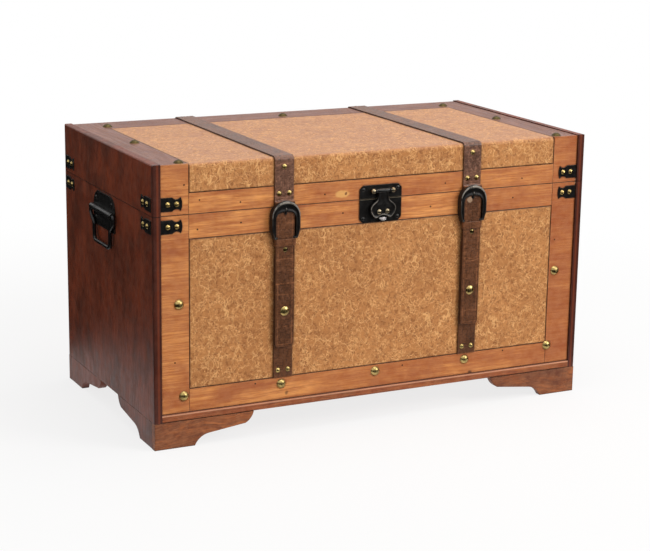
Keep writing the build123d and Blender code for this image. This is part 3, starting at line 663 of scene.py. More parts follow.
def ripple(across, down, seed):
    """Soft unevenness between -1 and 1, the same each time."""
    rng = np.random.default_rng(seed)
    total = np.zeros(np.broadcast(across, down).shape)
    for _ in range(5):
        a, b = rng.uniform(-0.12, 0.12), rng.uniform(0.02, 0.22)
        total = total + np.sin(a * across + b * down + rng.uniform(0, 6.28))
    return total / 5


def strap_section(width, thickness, edge=0.8):
    """A strap's section as places across it, heights above its back, and what shows of the emboss."""
    half = width / 2
    inner = half - edge
    count = int(round(2 * inner)) + 1
    across = np.linspace(-inner, inner, count)
    turn = np.radians((30, 60))
    x = [half, *(inner + edge * np.cos(turn)), *across[::-1], *(-inner - edge * np.sin(turn)), -half]
    h = [thickness - edge, *(thickness - edge + edge * np.sin(turn)), *([thickness] * count)]
    h += [*(thickness - edge + edge * np.cos(turn)), thickness - edge]
    x += [-half, -inner, inner, half]
    h += [edge * 0.5, 0, 0, edge * 0.5]
    shown = [0.0, 0.3, 0.7, *([1.0] * count), 0.7, 0.3, 0.0, 0, 0, 0, 0]
    return np.array(x), np.array(h), np.array(shown)


def ribbon(middle, stations, width, thickness, seed, narrow=None, thicken=None, border=0.0, folds=(), ridge_highlight=0.25):
    """An embossed strap along stations of (y, z, normal y, normal z, length so far)."""
    sizes = bpy.context.scene.trunk_straps
    x, h, shown = strap_section(width, thickness)
    sections, creases_and_side_shade, rubs = [], [], []
    end = stations[-1][4]
    for number, (y, z, ny, nz, run) in enumerate(stations):
        across = x * (1.0 if narrow is None else narrow[number])
        crease = scales(across, np.full_like(across, run), seed, sizes.scale_width / MM, sizes.scale_height / MM)
        wave = ripple(across, run, seed + 1)
        rise = h * (1.0 if thicken is None else thicken[number])
        # Pale marks: rubbed patches, and painted highlights on the ridges beside the creases.
        rub = np.clip(ripple(across, run * 1.7, seed + 2) - 0.25, 0, 1) * 0.6
        rub = np.maximum(rub, ridge_highlight * 4 * crease * (1 - crease))
        groove = np.zeros_like(across)
        if border:
            inside = np.minimum(width / 2 - np.abs(across), end - run)
            groove = np.exp(-(((inside - border) / 0.6) ** 2)) * (np.abs(across) < width / 2 - border + 1.2)
            rub = np.maximum(rub, 0.6 * np.exp(-(((inside - border - 0.9) / 0.7) ** 2)))
        for place, bow, strength in folds:
            line = np.exp(-(((run - place - bow * (across / width) ** 2 * 4) / 0.8) ** 2)) * strength
            groove = np.maximum(groove, 0.7 * line)
            rub = np.maximum(rub, line)
        rise = rise - shown * (crease * sizes.emboss / MM + 0.12 * (wave + 1) + 0.3 * groove)
        sections.append(np.stack([middle + across, y + ny * rise, z + nz * rise], axis=1))
        # The side faces take the crease colour as painted shade.
        creases_and_side_shade.append(np.maximum(crease * shown, 1.2 * (1 - shown)))
        rubs.append(rub * shown)
    points, faces = lofted(sections)
    return points, faces, np.concatenate(creases_and_side_shade), np.concatenate(rubs)


def path_along(corners, radii, step=1.0):
    """Stations along a line in y and z with rounded corners, its outside to the right."""
    corners = [np.array(c, float) for c in corners]
    trail = []
    previous = corners[0]
    for a, b, c, radius in zip(corners, corners[1:], corners[2:], radii):
        into, out = (b - a) / np.linalg.norm(b - a), (c - b) / np.linalg.norm(c - b)
        angle = math.atan2(into[0] * out[1] - into[1] * out[0], into @ out)
        back = radius * math.tan(abs(angle) / 2)
        start = b - into * back
        trail.append((previous, start, 0.0, into))
        trail.append((start, b + out * back, angle, into))
        previous = b + out * back
    last = (corners[-1] - corners[-2]) / np.linalg.norm(corners[-1] - corners[-2])
    trail.append((previous, corners[-1], 0.0, last))
    stations, run = [], 0.0
    for start, end, angle, heading in trail:
        chord = np.linalg.norm(end - start)
        length = chord if angle == 0 else chord * abs(angle) / (2 * math.sin(abs(angle) / 2))
        count = max(1, int(round(length / step)))
        for i in range(count):
            share = i / count
            turned = angle * share
            way = np.array([
                heading[0] * math.cos(turned) - heading[1] * math.sin(turned),
                heading[0] * math.sin(turned) + heading[1] * math.cos(turned),
            ])
            if angle == 0:
                place = start + (end - start) * share
            else:
                radius = length / abs(angle)
                turn = math.copysign(1.0, angle)
                centre = start + turn * radius * np.array([-heading[1], heading[0]])
                place = centre - turn * radius * np.array([-way[1], way[0]])
            stations.append((place[0], place[1], way[1], -way[0], run + length * share))
        run += length
    stations.append((trail[-1][1][0], trail[-1][1][1], last[1], -last[0], run))
    return stations


# Straps
LID_STRAP_THICKNESS = 2.5
TONGUE_THICKNESS = 3.5
TONGUE_BACK = 4.0
KEEPER_HEIGHT = 11.0
KEEPER_MIDDLE = SEAM - 61.0 + 5.6
RIVET_HEIGHT = SEAM - 66.3  # of the dull rivets below the keepers


STRAP_ROUNDING = 5.0  # of the corners at the lower end
FOLDS = {
    "left": ((88, 1.5, 0.8), (92, -1.0, 0.3), (127, 0.5, 0.9), (145, -1.5, 0.5), (196, 2.0, 0.6)),
    "right": ((74, -1.0, 0.4), (118, -3.5, 0.9), (122, -2.0, 0.7), (151, 1.0, 0.35), (205, 2.0, 0.6)),
}


def lid_strap(name, side):
    """From the back of the lid, over the top and down to the line where the hanging end swings."""
    node = f"lid_strap_{name}"
    back_end, front_end = SEAM + 10.0, low(node).z
    corners = [(BACK_FACE, back_end), (BACK_FACE, TOP_FACE), (ahead(0), TOP_FACE), (ahead(0), front_end)]
    stations = path_along(corners, (1.5, 5.0))
    total = stations[-1][4]
    thick = [1.0 + 0.45 * min(1.0, max(0.0, (s[4] - total + 7.6) / 2.0)) for s in stations]
    points, faces, crease, rub = ribbon(
        side * STRAP_X, stations, STRAP_WIDTH, LID_STRAP_THICKNESS, 11 + side, thicken=thick,
        folds=((total - 64.0, 3.0, 0.8), (total - 12.0, -3.0, 0.9), (total - 9.0, 3.5, 0.8)), ridge_highlight=0.6,
    )
    piece(
        f"strap_over_lid_{name}", points, faces, "dusty_strap_leather", "lid", "strap_leather", [node], 60,
        crease=crease, rub=rub,
    )


def body_strap(name, side):
    """The short strap that is nailed to the front, mostly behind the hanging end."""
    node = f"body_strap_{name}"
    stations = path_along([(ahead(0), high(node).z), (ahead(0), low(node).z)], ())
    points, faces, crease, rub = ribbon(side * STRAP_X, stations, STRAP_WIDTH, LID_STRAP_THICKNESS, 21 + side)
    piece(
        f"strap_on_body_{name}", points, faces, "handled_leather", "body", "strap_leather", [node], 60,
        crease=crease, rub=rub,
    )


def keeper(middle, seed):
    """The loop round a hanging end, with how creased it is."""
    inner = STRAP_WIDTH / 2 + 0.3
    near, far = TONGUE_BACK - 0.3, TONGUE_BACK + TONGUE_THICKNESS + 0.3
    wall, corner = 1.5, 1.2
    outline = []
    for x, y, start in (
        (inner - corner, far - corner, 0), (corner - inner, far - corner, 90),
        (corner - inner, near + corner, 180), (inner - corner, near + corner, 270),
    ):
        for a in np.radians(start + np.array((0, 30, 60, 90))):
            c, d = math.cos(a), math.sin(a)
            outline.append(np.array((x + corner * c, y + corner * d, c, d)))
    walk, run = [], 0.0
    for a, b in zip(outline, outline[1:] + outline[:1]):
        distance = math.hypot(*(b - a)[:2])
        count = max(1, int(round(distance)))
        walk += [(*(a + (b - a) * t), run + distance * t) for t in np.arange(count) / count]
        run += distance
    up, out, shown = strap_section(KEEPER_HEIGHT, wall, 0.5)
    loop, crease = [], []
    for x, y, nx, ny, s in walk:
        folded = scales(up, np.full_like(up, s), seed, 5.0, 6.0)
        reach = out - shown * 0.25 * folded
        loop.append(np.stack([middle + x + nx * reach, ahead(y + ny * reach), KEEPER_MIDDLE + up], axis=1))
        crease.append(folded * shown)
    return lofted(loop, closed=True), np.concatenate(crease)


def tongue_and_keeper(name, side):
    """The hanging end with its loop."""
    node = f"strap_tongue_{name}"
    top, bottom, middle = high(node).z, low(node).z, side * STRAP_X
    half_thick = TONGUE_THICKNESS / 2
    flex, rounding = top - half_thick, bottom + STRAP_ROUNDING
    stations = path_along([(ahead(TONGUE_BACK), flex), (ahead(TONGUE_BACK), bottom)], ())
    narrow = []
    for _, z, *_ in stations:
        reach = STRAP_ROUNDING**2 - max(0.0, rounding - z) ** 2
        narrow.append(1.0 - (STRAP_ROUNDING - math.sqrt(max(0.0, reach))) / 16.0)
    points, faces, crease, rub = ribbon(
        middle, stations, STRAP_WIDTH, TONGUE_THICKNESS, 31 + side, narrow, border=2.8, folds=FOLDS[name]
    )
    x, h, _ = strap_section(STRAP_WIDTH, TONGUE_THICKNESS)
    roll = []
    for turn in np.radians((75, 50, 25)):
        rise = half_thick + (h - half_thick) * math.cos(turn)
        lift = np.full_like(x, flex + half_thick * math.sin(turn))
        roll.append(np.stack([middle + x, ahead(TONGUE_BACK) - rise, lift], axis=1))
    ring = len(x)
    hanging = lofted(np.concatenate([*roll, points]).reshape(-1, ring, 3))
    loop, loop_crease = keeper(middle, 41 + side)
    crease = np.concatenate([np.zeros(3 * ring), crease, loop_crease])
    # The roll at the top takes a painted highlight where it bends out; the loop is lightly rubbed.
    rub = np.concatenate([np.full(3 * ring, 0.4), rub, np.full(len(loop_crease), 0.25)])
    piece(
        f"strap_end_{name}", *merged([hanging, loop]), "handled_leather", f"strap_end_{name}", "strap_leather",
        [node], 60, crease=crease, rub=rub,
    )


# Buckles
def prong(middle, tongue, hole, tip):
    """The prong of a buckle, from its hole in the leather up to the frame."""
    spine = [
        (tongue - 2.2, hole - 0.5), (tongue - 0.6, hole - 0.1), (tongue + 0.7, hole + 1.1),
        (tongue + 1.5, hole + 3.0), (tongue + 2.0, hole + 5.2), (tongue + 2.3, hole + 7.2),
        (tongue + 2.3, tip - 0.8), (tongue + 2.2, tip),
    ]
    radii = (1.3, 1.4, 1.35, 1.25, 1.2, 1.1, 0.95, 0.5)
    rings = []
    for number, ((depth, z), radius) in enumerate(zip(spine, radii)):
        before, after = spine[max(0, number - 1)], spine[min(len(spine) - 1, number + 1)]
        way = Vector((after[0] - before[0], after[1] - before[1])).normalized()
        ring = []
        for a in np.linspace(0, 2 * math.pi, 14, endpoint=False):
            out = radius * 0.9 * math.sin(a)
            ring.append((middle + radius * math.cos(a), ahead(depth + way.y * out), z - way.x * out))
        rings.append(ring)
    return lofted(rings)


OPENING = 0.71  # how square the curve of a buckle's opening is, 1 being an ellipse


def buckle(name, side):
    """A frame with a beaded rim and a dished curve, and its prong."""
    node = f"buckle_{name}"
    top, bottom, middle = high(node).z, low(node).z, side * STRAP_X
    half, foot, leg, crescent, taper, bar = 24.0, 19.5, 7.0, 17.5, 14.0, 5.5
    back, front, tongue = 1.2, 11.0, TONGUE_BACK + TONGUE_THICKNESS + 0.25
    arch, passage = 14.5, 16.6
    shoulder, spring = top - half, top - crescent - arch
    inner = half - leg
    turns = np.radians([*np.arange(0, 84, 4), 84, 86.5, 90, 93.5, 96, *np.arange(100, 184, 4)])
    outline = [
        (
            (half * math.cos(a), shoulder + half * math.sin(a)),
            (
                math.copysign(inner * abs(math.cos(a)) ** OPENING, math.cos(a)),
                spring + arch * abs(math.sin(a)) ** OPENING,
            ),
        )
        for a in turns
    ]
    low_inside = bottom + bar
    drops = np.linspace(0.08, 1.0, 12)
    for sign in (-1, 1):
        legs = []
        for t in drops:
            z_out = shoulder + (bottom + taper - shoulder) * t
            z_in = spring + (low_inside + taper - 4.0 - spring) * t
            legs.append(((sign * half, z_out), (sign * inner, z_in)))
        for t in (0.33, 0.66, 0.94):
            legs.append((
                (sign * (half + (foot - half) * t), bottom + taper * (1 - t)),
                (sign * (inner - 0.2 * t), low_inside + (taper - 4.0) * (1 - t)),
            ))
        if sign < 0:
            outline += legs
            across = (-passage, -15.6, -8, 0, 8, 15.6, passage)
            outline += [((x * foot / 16.7, bottom), (x, low_inside)) for x in across]
        else:
            outline += legs[::-1]
    profile = [
        (0.0, 0.0), (0.0, 0.86), (0.03, 0.94), (0.08, 0.99), (0.14, 1.0), (0.2, 0.99), (0.27, 0.94), (0.36, 0.87),
        (0.5, 0.81), (0.64, 0.8), (0.78, 0.83), (0.88, 0.9), (0.94, 0.9), (0.98, 0.84), (1.0, 0.72), (1.0, 0.0),
    ]
    sections, rub = [], []
    for (ox, oz), (ix, iz) in outline:
        span = math.hypot(ox - ix, oz - iz)
        height = min(1.0, max(0.12, (oz - shoulder + 10.0) / 16.0))
        # Painted highlight along the bead of the rim, stronger towards the top.
        rub += [height if 0.05 < share_in < 0.23 else 0.0 for share_in, _ in profile]
        ring = []
        for share_in, rise in profile:
            x, z = ox + (ix - ox) * share_in, oz + (iz - oz) * share_in
            dish = 1.0 if rise == 0.0 else 1.0 - (1.0 - rise) * min(1.0, span / crescent + 0.2)
            face = front
            rear = tongue + 0.05 if abs(x) < passage and z > bottom + 2 * bar else back
            if z < low_inside + 1.0 and abs(x) < passage:
                face = TONGUE_BACK - 0.2
            level = rear if rise == 0.0 else back + (face - back) * dish
            if abs(x) < 1.8 and z > spring and 0.3 < share_in and rise > 0.0:
                level = min(level, tongue + 1.3)
            ring.append((middle + x, ahead(level), z))
        sections.append(ring)
    frame_skin = lofted(sections, closed=True)
    hole = spring + arch - 2.6
    points, faces = merged([frame_skin, prong(middle, tongue, hole, spring + arch + 6.6)])
    # The prong takes a painted highlight.
    rub += [0.5 if 70 < i else 0.0 for i in range(len(points) - len(rub))]
    piece(
        f"buckle_frame_{name}", points, faces, "black_lacquer", f"strap_end_{name}", "black_metal", [node], 50,
        rub=rub,
    )
    rim = ((2.6, -0.13), (2.4, 0.01), (2.0, 0.05), (1.75, -0.1), (1.6, -0.95))
    points, faces = lathe(middle, TONGUE_BACK + TONGUE_THICKNESS, hole, rim, 20)
    piece(f"punched_hole_{name}", points, faces, "hole_edge", f"strap_end_{name}", "strap_leather")


# Latch
KNUCKLE_SIDES = 24


def lift_tab(face, pin_z):
    """The bright lip at the lower edge of the hasp."""
    profile = (
        (0.0, 0.2), (0.35, 0.9), (0.7, 1.9), (0.95, 2.7), (1.0, 3.0), (0.97, 2.2), (0.6, 1.0), (0.0, -0.6),
    )
    points, steps = [], np.linspace(-1, 1, 21)
    for drop, level in profile:
        for t in steps:
            belly = 1 - abs(t) ** 2.2
            points.append((
                HASP_X + 7.4 * t, ahead(face - 1.6 + level * (0.25 + 0.75 * belly)),
                pin_z - 42.6 - 0.9 * abs(t) - 4.6 * belly * drop,
            ))
    faces = []
    rows, width = len(profile), len(steps)
    for i in range(rows):
        a, b = i * width, ((i + 1) % rows) * width
        faces += [(a + j, a + j + 1, b + j + 1, b + j) for j in range(width - 1)]
    faces.append(tuple(i * width for i in range(rows)))
    faces.append(tuple(i * width + width - 1 for i in reversed(range(rows))))
    return points, faces


def hasp():
    """The flap with its beaded rim, two rivets and lift tab."""
    node = "latch_hasp"
    pin_z = high(node).z - 2.9
    back, face = 5.4, 7.0
    half = [
        (9.0, 0.0), (9.0, -5.0), (9.1, -9.5), (10.2, -13.0), (12.6, -16.0), (16.0, -18.4), (19.0, -21.0),
        (21.6, -24.5), (22.6, -28.5), (22.2, -32.5), (20.6, -36.0), (18.6, -38.8), (16.6, -41.2), (14.2, -42.9),
        (11.6, -43.2), (9.0, -42.2), (6.2, -40.6), (3.2, -39.3), (0.0, -38.8),
    ]
    outline = half + [(-x, z) for x, z in half[-2::-1]]
    fine = []
    count = len(outline)
    for i in range(count):
        a, b = np.array(outline[i]), np.array(outline[(i + 1) % count])
        if i == count - 1:
            fine += [a + (b - a) * t for t in np.linspace(0, 1, 6, endpoint=False)]
            continue
        p, q = np.array(outline[max(0, i - 1)]), np.array(outline[min(count - 1, i + 2)])
        bow, twist = 2 * p - 5 * a + 4 * b - q, 3 * a - p - 3 * b + q
        for t in (0.0, 0.34, 0.67):
            fine.append(0.5 * (2 * a + (b - p) * t + bow * t**2 + twist * t**3))
    line = np.array(fine)
    ahead_of, behind = np.roll(line, -1, axis=0), np.roll(line, 1, axis=0)
    way = ahead_of - behind
    way /= np.linalg.norm(way, axis=1)[:, None]
    inward = np.stack([way[:, 1], -way[:, 0]], axis=1)
    if inward[5][0] > 0:
        inward = -inward
    levels = (
        (0.0, back), (0.0, face - 0.3), (0.35, face + 0.5), (0.9, face + 1.0), (1.6, face + 1.0),
        (2.2, face + 0.5), (2.8, face + 0.05),
    )
    rings, rub = [], []
    for inset, level in levels:
        placed = line + inward * inset
        rings.append([(HASP_X + x, ahead(level), pin_z + z) for x, z in placed])
        rub += [(0.75 if x < 4 else 0.35) * (0.8 < inset < 1.7) * (z < -14) for x, z in placed]
    inside = line + inward * 2.8
    for shrink, swell in ((0.82, 0.05), (0.62, 0.35), (0.4, 0.75), (0.18, 1.0)):
        ring = []
        for x, z in inside:
            lower = max(0.0, min(1.0, (-z - 12.0) / 10.0)) * max(0.0, min(1.0, (z + 42.0) / 6.0))
            ring.append((HASP_X + x * shrink, ahead(face + swell * lower), pin_z + max(-37.5, min(-3.0, z))))
        rings.append(ring)
    flap = lofted(rings)
    knuckle = []
    for x, radius in ((-11.0, 2.3), (-10.6, 2.8), (-10.2, 2.9), (10.2, 2.9), (10.6, 2.8), (11.0, 2.3)):
        knuckle.append([
            (HASP_X + x, ahead(6.2 + radius * math.cos(a)), pin_z + radius * math.sin(a))
            for a in np.linspace(0, 2 * math.pi, KNUCKLE_SIDES, endpoint=False)
        ])
    points, faces = merged([flap, lofted(knuckle)])
    knuckle_start = len(flap[0])
    rub += [0.0] * (knuckle_start - len(rub))
    # A painted highlight along the top of the knuckle.
    rub += [0.7 if 5 <= i % KNUCKLE_SIDES <= 7 else 0.0 for i in range(len(points) - knuckle_start)]
    piece("hasp_flap", points, faces, "black_lacquer", "hasp", "black_metal", [node], 50, rub=rub)
    piece("hasp_lift_tab", *lift_tab(face, pin_z), "bright_metal", "hasp", "black_metal", crisp=60)
    head = dome(4.0, 2.4)
    rivets = [lathe(HASP_X + side * 7.2, face + 0.9, pin_z - 33.0, head, 28, 225) for _, side in SIDES]
    piece("hasp_rivets", *merged(rivets), "pale_brass", "hasp", "nail_brass")


def brads(name, body, places):
    """Sunken heads of the brads that hold the strips, in their small stained holes."""
    head = ((1.3, 0.0), (1.2, 0.12), (0.9, 0.16), (0.7, 0.06), (0.4, 0.05))
    piece(name, *merged([lathe(x, 0.0, z, head, 14) for x, z in places]), "hole_edge", body, "strip_wood")


# Where the brads are on the strips, as x and z
BRADS_ON_LID = ((-329.3, 409.1), (-304.6, 384.5), (-238.0, 376.2), (-96.0, 377.0), (118.0, 379.0), (262.0, 376.5))
BRADS_ON_BODY = (
    (-308.0, 339.7), (-237.0, 344.5), (-64.2, 345.1), (92.0, 343.0), (246.0, 345.5), (-345.4, 135.8), (331.0, 268.0),
    (-212.0, 86.0), (48.0, 84.5), (238.0, 87.0),
)


# Leatherette
def covering(name, node, body, path, corners_radii):
    """A covering that follows a line in y and z across the width of its node, with turned-in edges."""
    sizes = bpy.context.scene.trunk_leatherette
    left, right = low(node).x, high(node).x
    stations = path_along(path, corners_radii, 3.0)
    total = stations[-1][4]
    step = 4.0
    width = right - left
    border = np.array([0, 0.35, 0.9, 1.8, 3.0])
    across = np.concatenate([border, np.linspace(6, width - 6, int(width / step)), width - border[::-1]])
    more = []
    for run in border[1:4]:
        for station, sign in ((stations[0], 1), (stations[-1], -1)):
            y, z, ny, nz, s = station
            more.append((y - sign * nz * run, z + sign * ny * run, ny, nz, s + sign * run))
    stations = sorted(stations + more, key=lambda s: s[4])
    rng = np.random.default_rng(5)
    waves = [(rng.uniform(-0.05, 0.05), rng.uniform(-0.06, 0.06), rng.uniform(0, 6.28)) for _ in range(9)]
    rows, edges = [], []
    for y, z, ny, nz, run in stations:
        edge = np.minimum(np.minimum(across, width - across), min(run, total - run))
        turned = -1.1 * np.exp(-edge / 0.45)
        swell = sum(np.sin(a * across + b * run + c) for a, b, c in waves) / 9 - 0.5
        level = turned + swell * sizes.swell / MM * np.clip(edge / 6.0, 0, 1)
        rows.append(np.stack([left + across, y + ny * level, z + nz * level], axis=1))
        # The edge mark is where the covering paints a dark line of shade along its edges.
        edges.append(np.exp(-((edge / 1.3) ** 2)))
    front = np.array(rows)
    depth = 2.5
    normals = np.array([[0.0, s[2], s[3]] for s in stations])[:, None, :]
    rear = front - normals * depth
    rings = np.concatenate([front, rear[:, ::-1]], axis=1)
    points, faces = lofted(rings)
    faces = faces[:-2]
    ring, half = rings.shape[1], rings.shape[1] // 2
    for start in (0, (len(stations) - 1) * ring):
        for j in range(half - 1):
            face = (start + j, start + j + 1, start + ring - 2 - j, start + ring - 1 - j)
            faces.append(face if start else face[::-1])
    edges = np.array(edges)
    edge = np.concatenate([edges, edges[:, ::-1]], axis=1).ravel()
    piece(name, points, faces, "crackled_leatherette", body, "leatherette", [node], edge=edge)


# Operators
class TRUNK_OT_finishes(Operator):
    """Builds the shared surface effects and the materials made with them"""

    bl_idname = "trunk.finishes"
    bl_label = "Finishes"

    def execute(self, context):
        wood, metals, straps = context.scene.trunk_wood, context.scene.trunk_metal, context.scene.trunk_straps
        for build, inputs, outputs in EFFECTS:
            make_effect(build, inputs, outputs)
        strip, streak = wood.strip, wood.strip_streak
        pale, core = (0.93, 0.70, 0.40), (0.42, 0.20, 0.08)
        knots = ((-66.0, 375.5, 26.0, 13.0, pale, 0.8), (-60.0, 376.6, 5.5, 5.0, core, 0.8))
        stained_wood("stained_strip", "X", strip, streak, 0.0, 0.6, spots=knots, darker_towards_right=0.35)
        stained_wood("low_stained_strip", "X", strip, streak, 0.1, 0.7, seed=1.0, darker_towards_right=0.2)
        chips = (
            (368.5, 366.6, 7.0, 4.0, (0.95, 0.82, 0.70), 0.85), (367.0, 361.4, 5.0, 3.0, (0.93, 0.78, 0.64), 0.8),
        )
        stained_wood("deep_stained_strip", "X", strip, streak, 0.55, 0.5, seed=3.0, spots=chips)
        for name, axis, seed in (("stained_batten", "Y", 0.0), ("stained_back_batten", "X", 5.0)):
            batten, streaks = wood.batten, wood.batten_streak
            stained_wood(name, axis, batten, streaks, 0.0, 0.3, gloss=0.3, seed=seed, blot=streaks)
        nose_top = high("floor_board").z
        # A painted highlight along the rounded top of the nose, and a dark joint line at its very top.
        nose_highlight_and_joint_lines = ((nose_top - 2.4, 1.6, (0.93, 0.70, 0.56), 0.6), (nose_top - 0.4, 0.9, wood.grime_and_shade, 0.8))
        stained_wood("stained_nose", "X", wood.foot, wood.foot_streak, 0.0, 0.4, seed=7.0, lines=nose_highlight_and_joint_lines)
        stained_wood(
            "stained_foot", "X", wood.foot, wood.foot_streak, 0.0, 1.0, seed=9.0, blot=wood.foot_streak, swirl=0.05
        )
        stained_wood(
            "dark_end", "Z", wood.end, wood.end_streak, 0.0, 0.75, gloss=0.36, wear=0.4, mottle=0.03, knots=0.2,
            relief=0.00005, blot=(0.27, 0.105, 0.04), banding=0.45, swirl=0.04, front_edge=True, streaky=0.4,
            flecks=0.9,
        )
        stained_wood("bare_board", "X", wood.bare, wood.strip, 0.0, 0.1, gloss=0.6, wear=0.2)
        leatherette()
        strap_leather("dusty_strap_leather", straps.lid, 0.4)
        # One painted glint on the right hanging end, just below its buckle.
        strap_leather("handled_leather", straps.hanging, 0.25, [(160.0, 350.0, 11.0, 9.5)])
        metal("black_lacquer", metals.iron, metals.iron_edge, 0.2, 0.3, wear=0.3, specular=0.5)
        metal("latch_lacquer", metals.iron, metals.iron_edge, 0.2, 0.3, wear=0.3, specular=0.5, split=0.9)
        metal("hole_edge", (0.07, 0.04, 0.03), (0.12, 0.07, 0.05), 0.0, 0.6, wear=0.2)
        bright_brass = [min(1, c * 1.2) for c in metals.brass]
        metal("aged_brass", metals.brass, bright_brass, 1.0, 0.26, film=0.5, dull=RIVET_HEIGHT)
        metal("pale_brass", (0.66, 0.60, 0.49), (0.9, 0.85, 0.72), 1.0, 0.26, film=0.4)
        metal("bronze", (0.34, 0.29, 0.17), metals.brass, 0.8, 0.4, film=0.5)
        metal("bright_metal", metals.steel, (0.9, 0.9, 0.9), 1.0, 0.3, film=0.3)
        return {"FINISHED"}


class TRUNK_OT_woodwork(Operator):
    """Stains the panels, strips, battens, boards and feet"""

    bl_idname = "trunk.woodwork"
    bl_label = "Woodwork"

    def execute(self, context):
        give(("lid_stile_left", "lid_front_rail", "body_top_rail"), "stained_strip")
        give(("body_stile_left", "body_bottom_rail"), "low_stained_strip")
        give(("body_stile_right", "lid_stile_right"), "deep_stained_strip")
        give(("lid_batten_left", "lid_batten_right"), "stained_batten")
        give(("lid_batten_back",), "stained_back_batten")
        give(("floor_board",), "stained_nose")
        give(("foot_front_left", "foot_front_right"), "stained_foot")
        ends = [f"{part}_side_{name}" for part in ("body", "lid") for name, _ in SIDES]
        ends += [node for node in NODES if node.startswith(("foot_end", "foot_back"))]
        give(ends, "dark_end")
        give(("body_front_board", "lid_front_board", "lid_top_board"), "bare_board")
        give(("body_back_board", "lid_back_board"), "deep_stained_strip")
        return {"FINISHED"}


class TRUNK_OT_leatherette(Operator):
    """Covers the front of the body and the front and top of the lid"""

    bl_idname = "trunk.leatherette"
    bl_label = "Leatherette"

    def execute(self, context):
        lid, body = "lid_leather", "body_leather"
        face = ahead(0)
        covering("front_leatherette", body, "body", [(face, high(body).z), (face, low(body).z)], ())
        over = [(high(lid).y, TOP_FACE), (face, TOP_FACE), (face, low(lid).z)]
        covering("lid_leatherette", lid, "lid", over, (5.0,))
        return {"FINISHED"}


class TRUNK_OT_straps(Operator):
    """Makes the straps on the lid and body, and the hanging ends with their loops"""

    bl_idname = "trunk.straps"
    bl_label = "Straps"

    def execute(self, context):
        for name, side in SIDES:
            lid_strap(name, side)
            body_strap(name, side)
            tongue_and_keeper(name, side)
        return {"FINISHED"}


class TRUNK_OT_buckles(Operator):
    """Makes the buckles with their prongs and punched holes"""

    bl_idname = "trunk.buckles"
    bl_label = "Buckles"

    def execute(self, context):
        for name, side in SIDES:
            buckle(name, side)
        return {"FINISHED"}


class TRUNK_OT_latch(Operator):
    """Makes the hasp and finishes the plates, pin and catch of the latch"""

    bl_idname = "trunk.latch"
    bl_label = "Latch"

    def execute(self, context):
        hasp()
        plates = ("latch_catch_plate", "latch_hinge_plate")
        give(plates, "latch_lacquer")
        soften(plates, 0.0003)
        give(("latch_pin",), "pale_brass")
        return {"FINISHED"}


class TRUNK_OT_fittings(Operator):
    """Finishes the nails, corner plates, handles, hinges and screws"""

    bl_idname = "trunk.fittings"
    bl_label = "Fittings"

    def execute(self, context):
        nails = ["body_small_nails", "lid_small_nails", "body_dome_nails"]
        give(nails + ["strap_studs_left", "strap_studs_right", "stud_sockets"], "aged_brass")
        give(("lid_dome_nails",), "bronze")
        plates = ["body_corner_plates", "lid_corner_plates"]
        hinges = ["hinge_lower_leaves", "hinge_upper_leaves"]
        give(plates + hinges + ["hinge_pins"], "black_lacquer")
        soften(plates + hinges, 0.0002)
        for name, _ in SIDES:
            give((f"handle_plate_{name}", f"handle_bail_{name}"), "black_lacquer")
        brads("lid_brads", "lid", BRADS_ON_LID)
        brads("body_brads", "body", BRADS_ON_BODY)
        give(("body_screws", "lid_screws"), "black_lacquer")
        return {"FINISHED"}


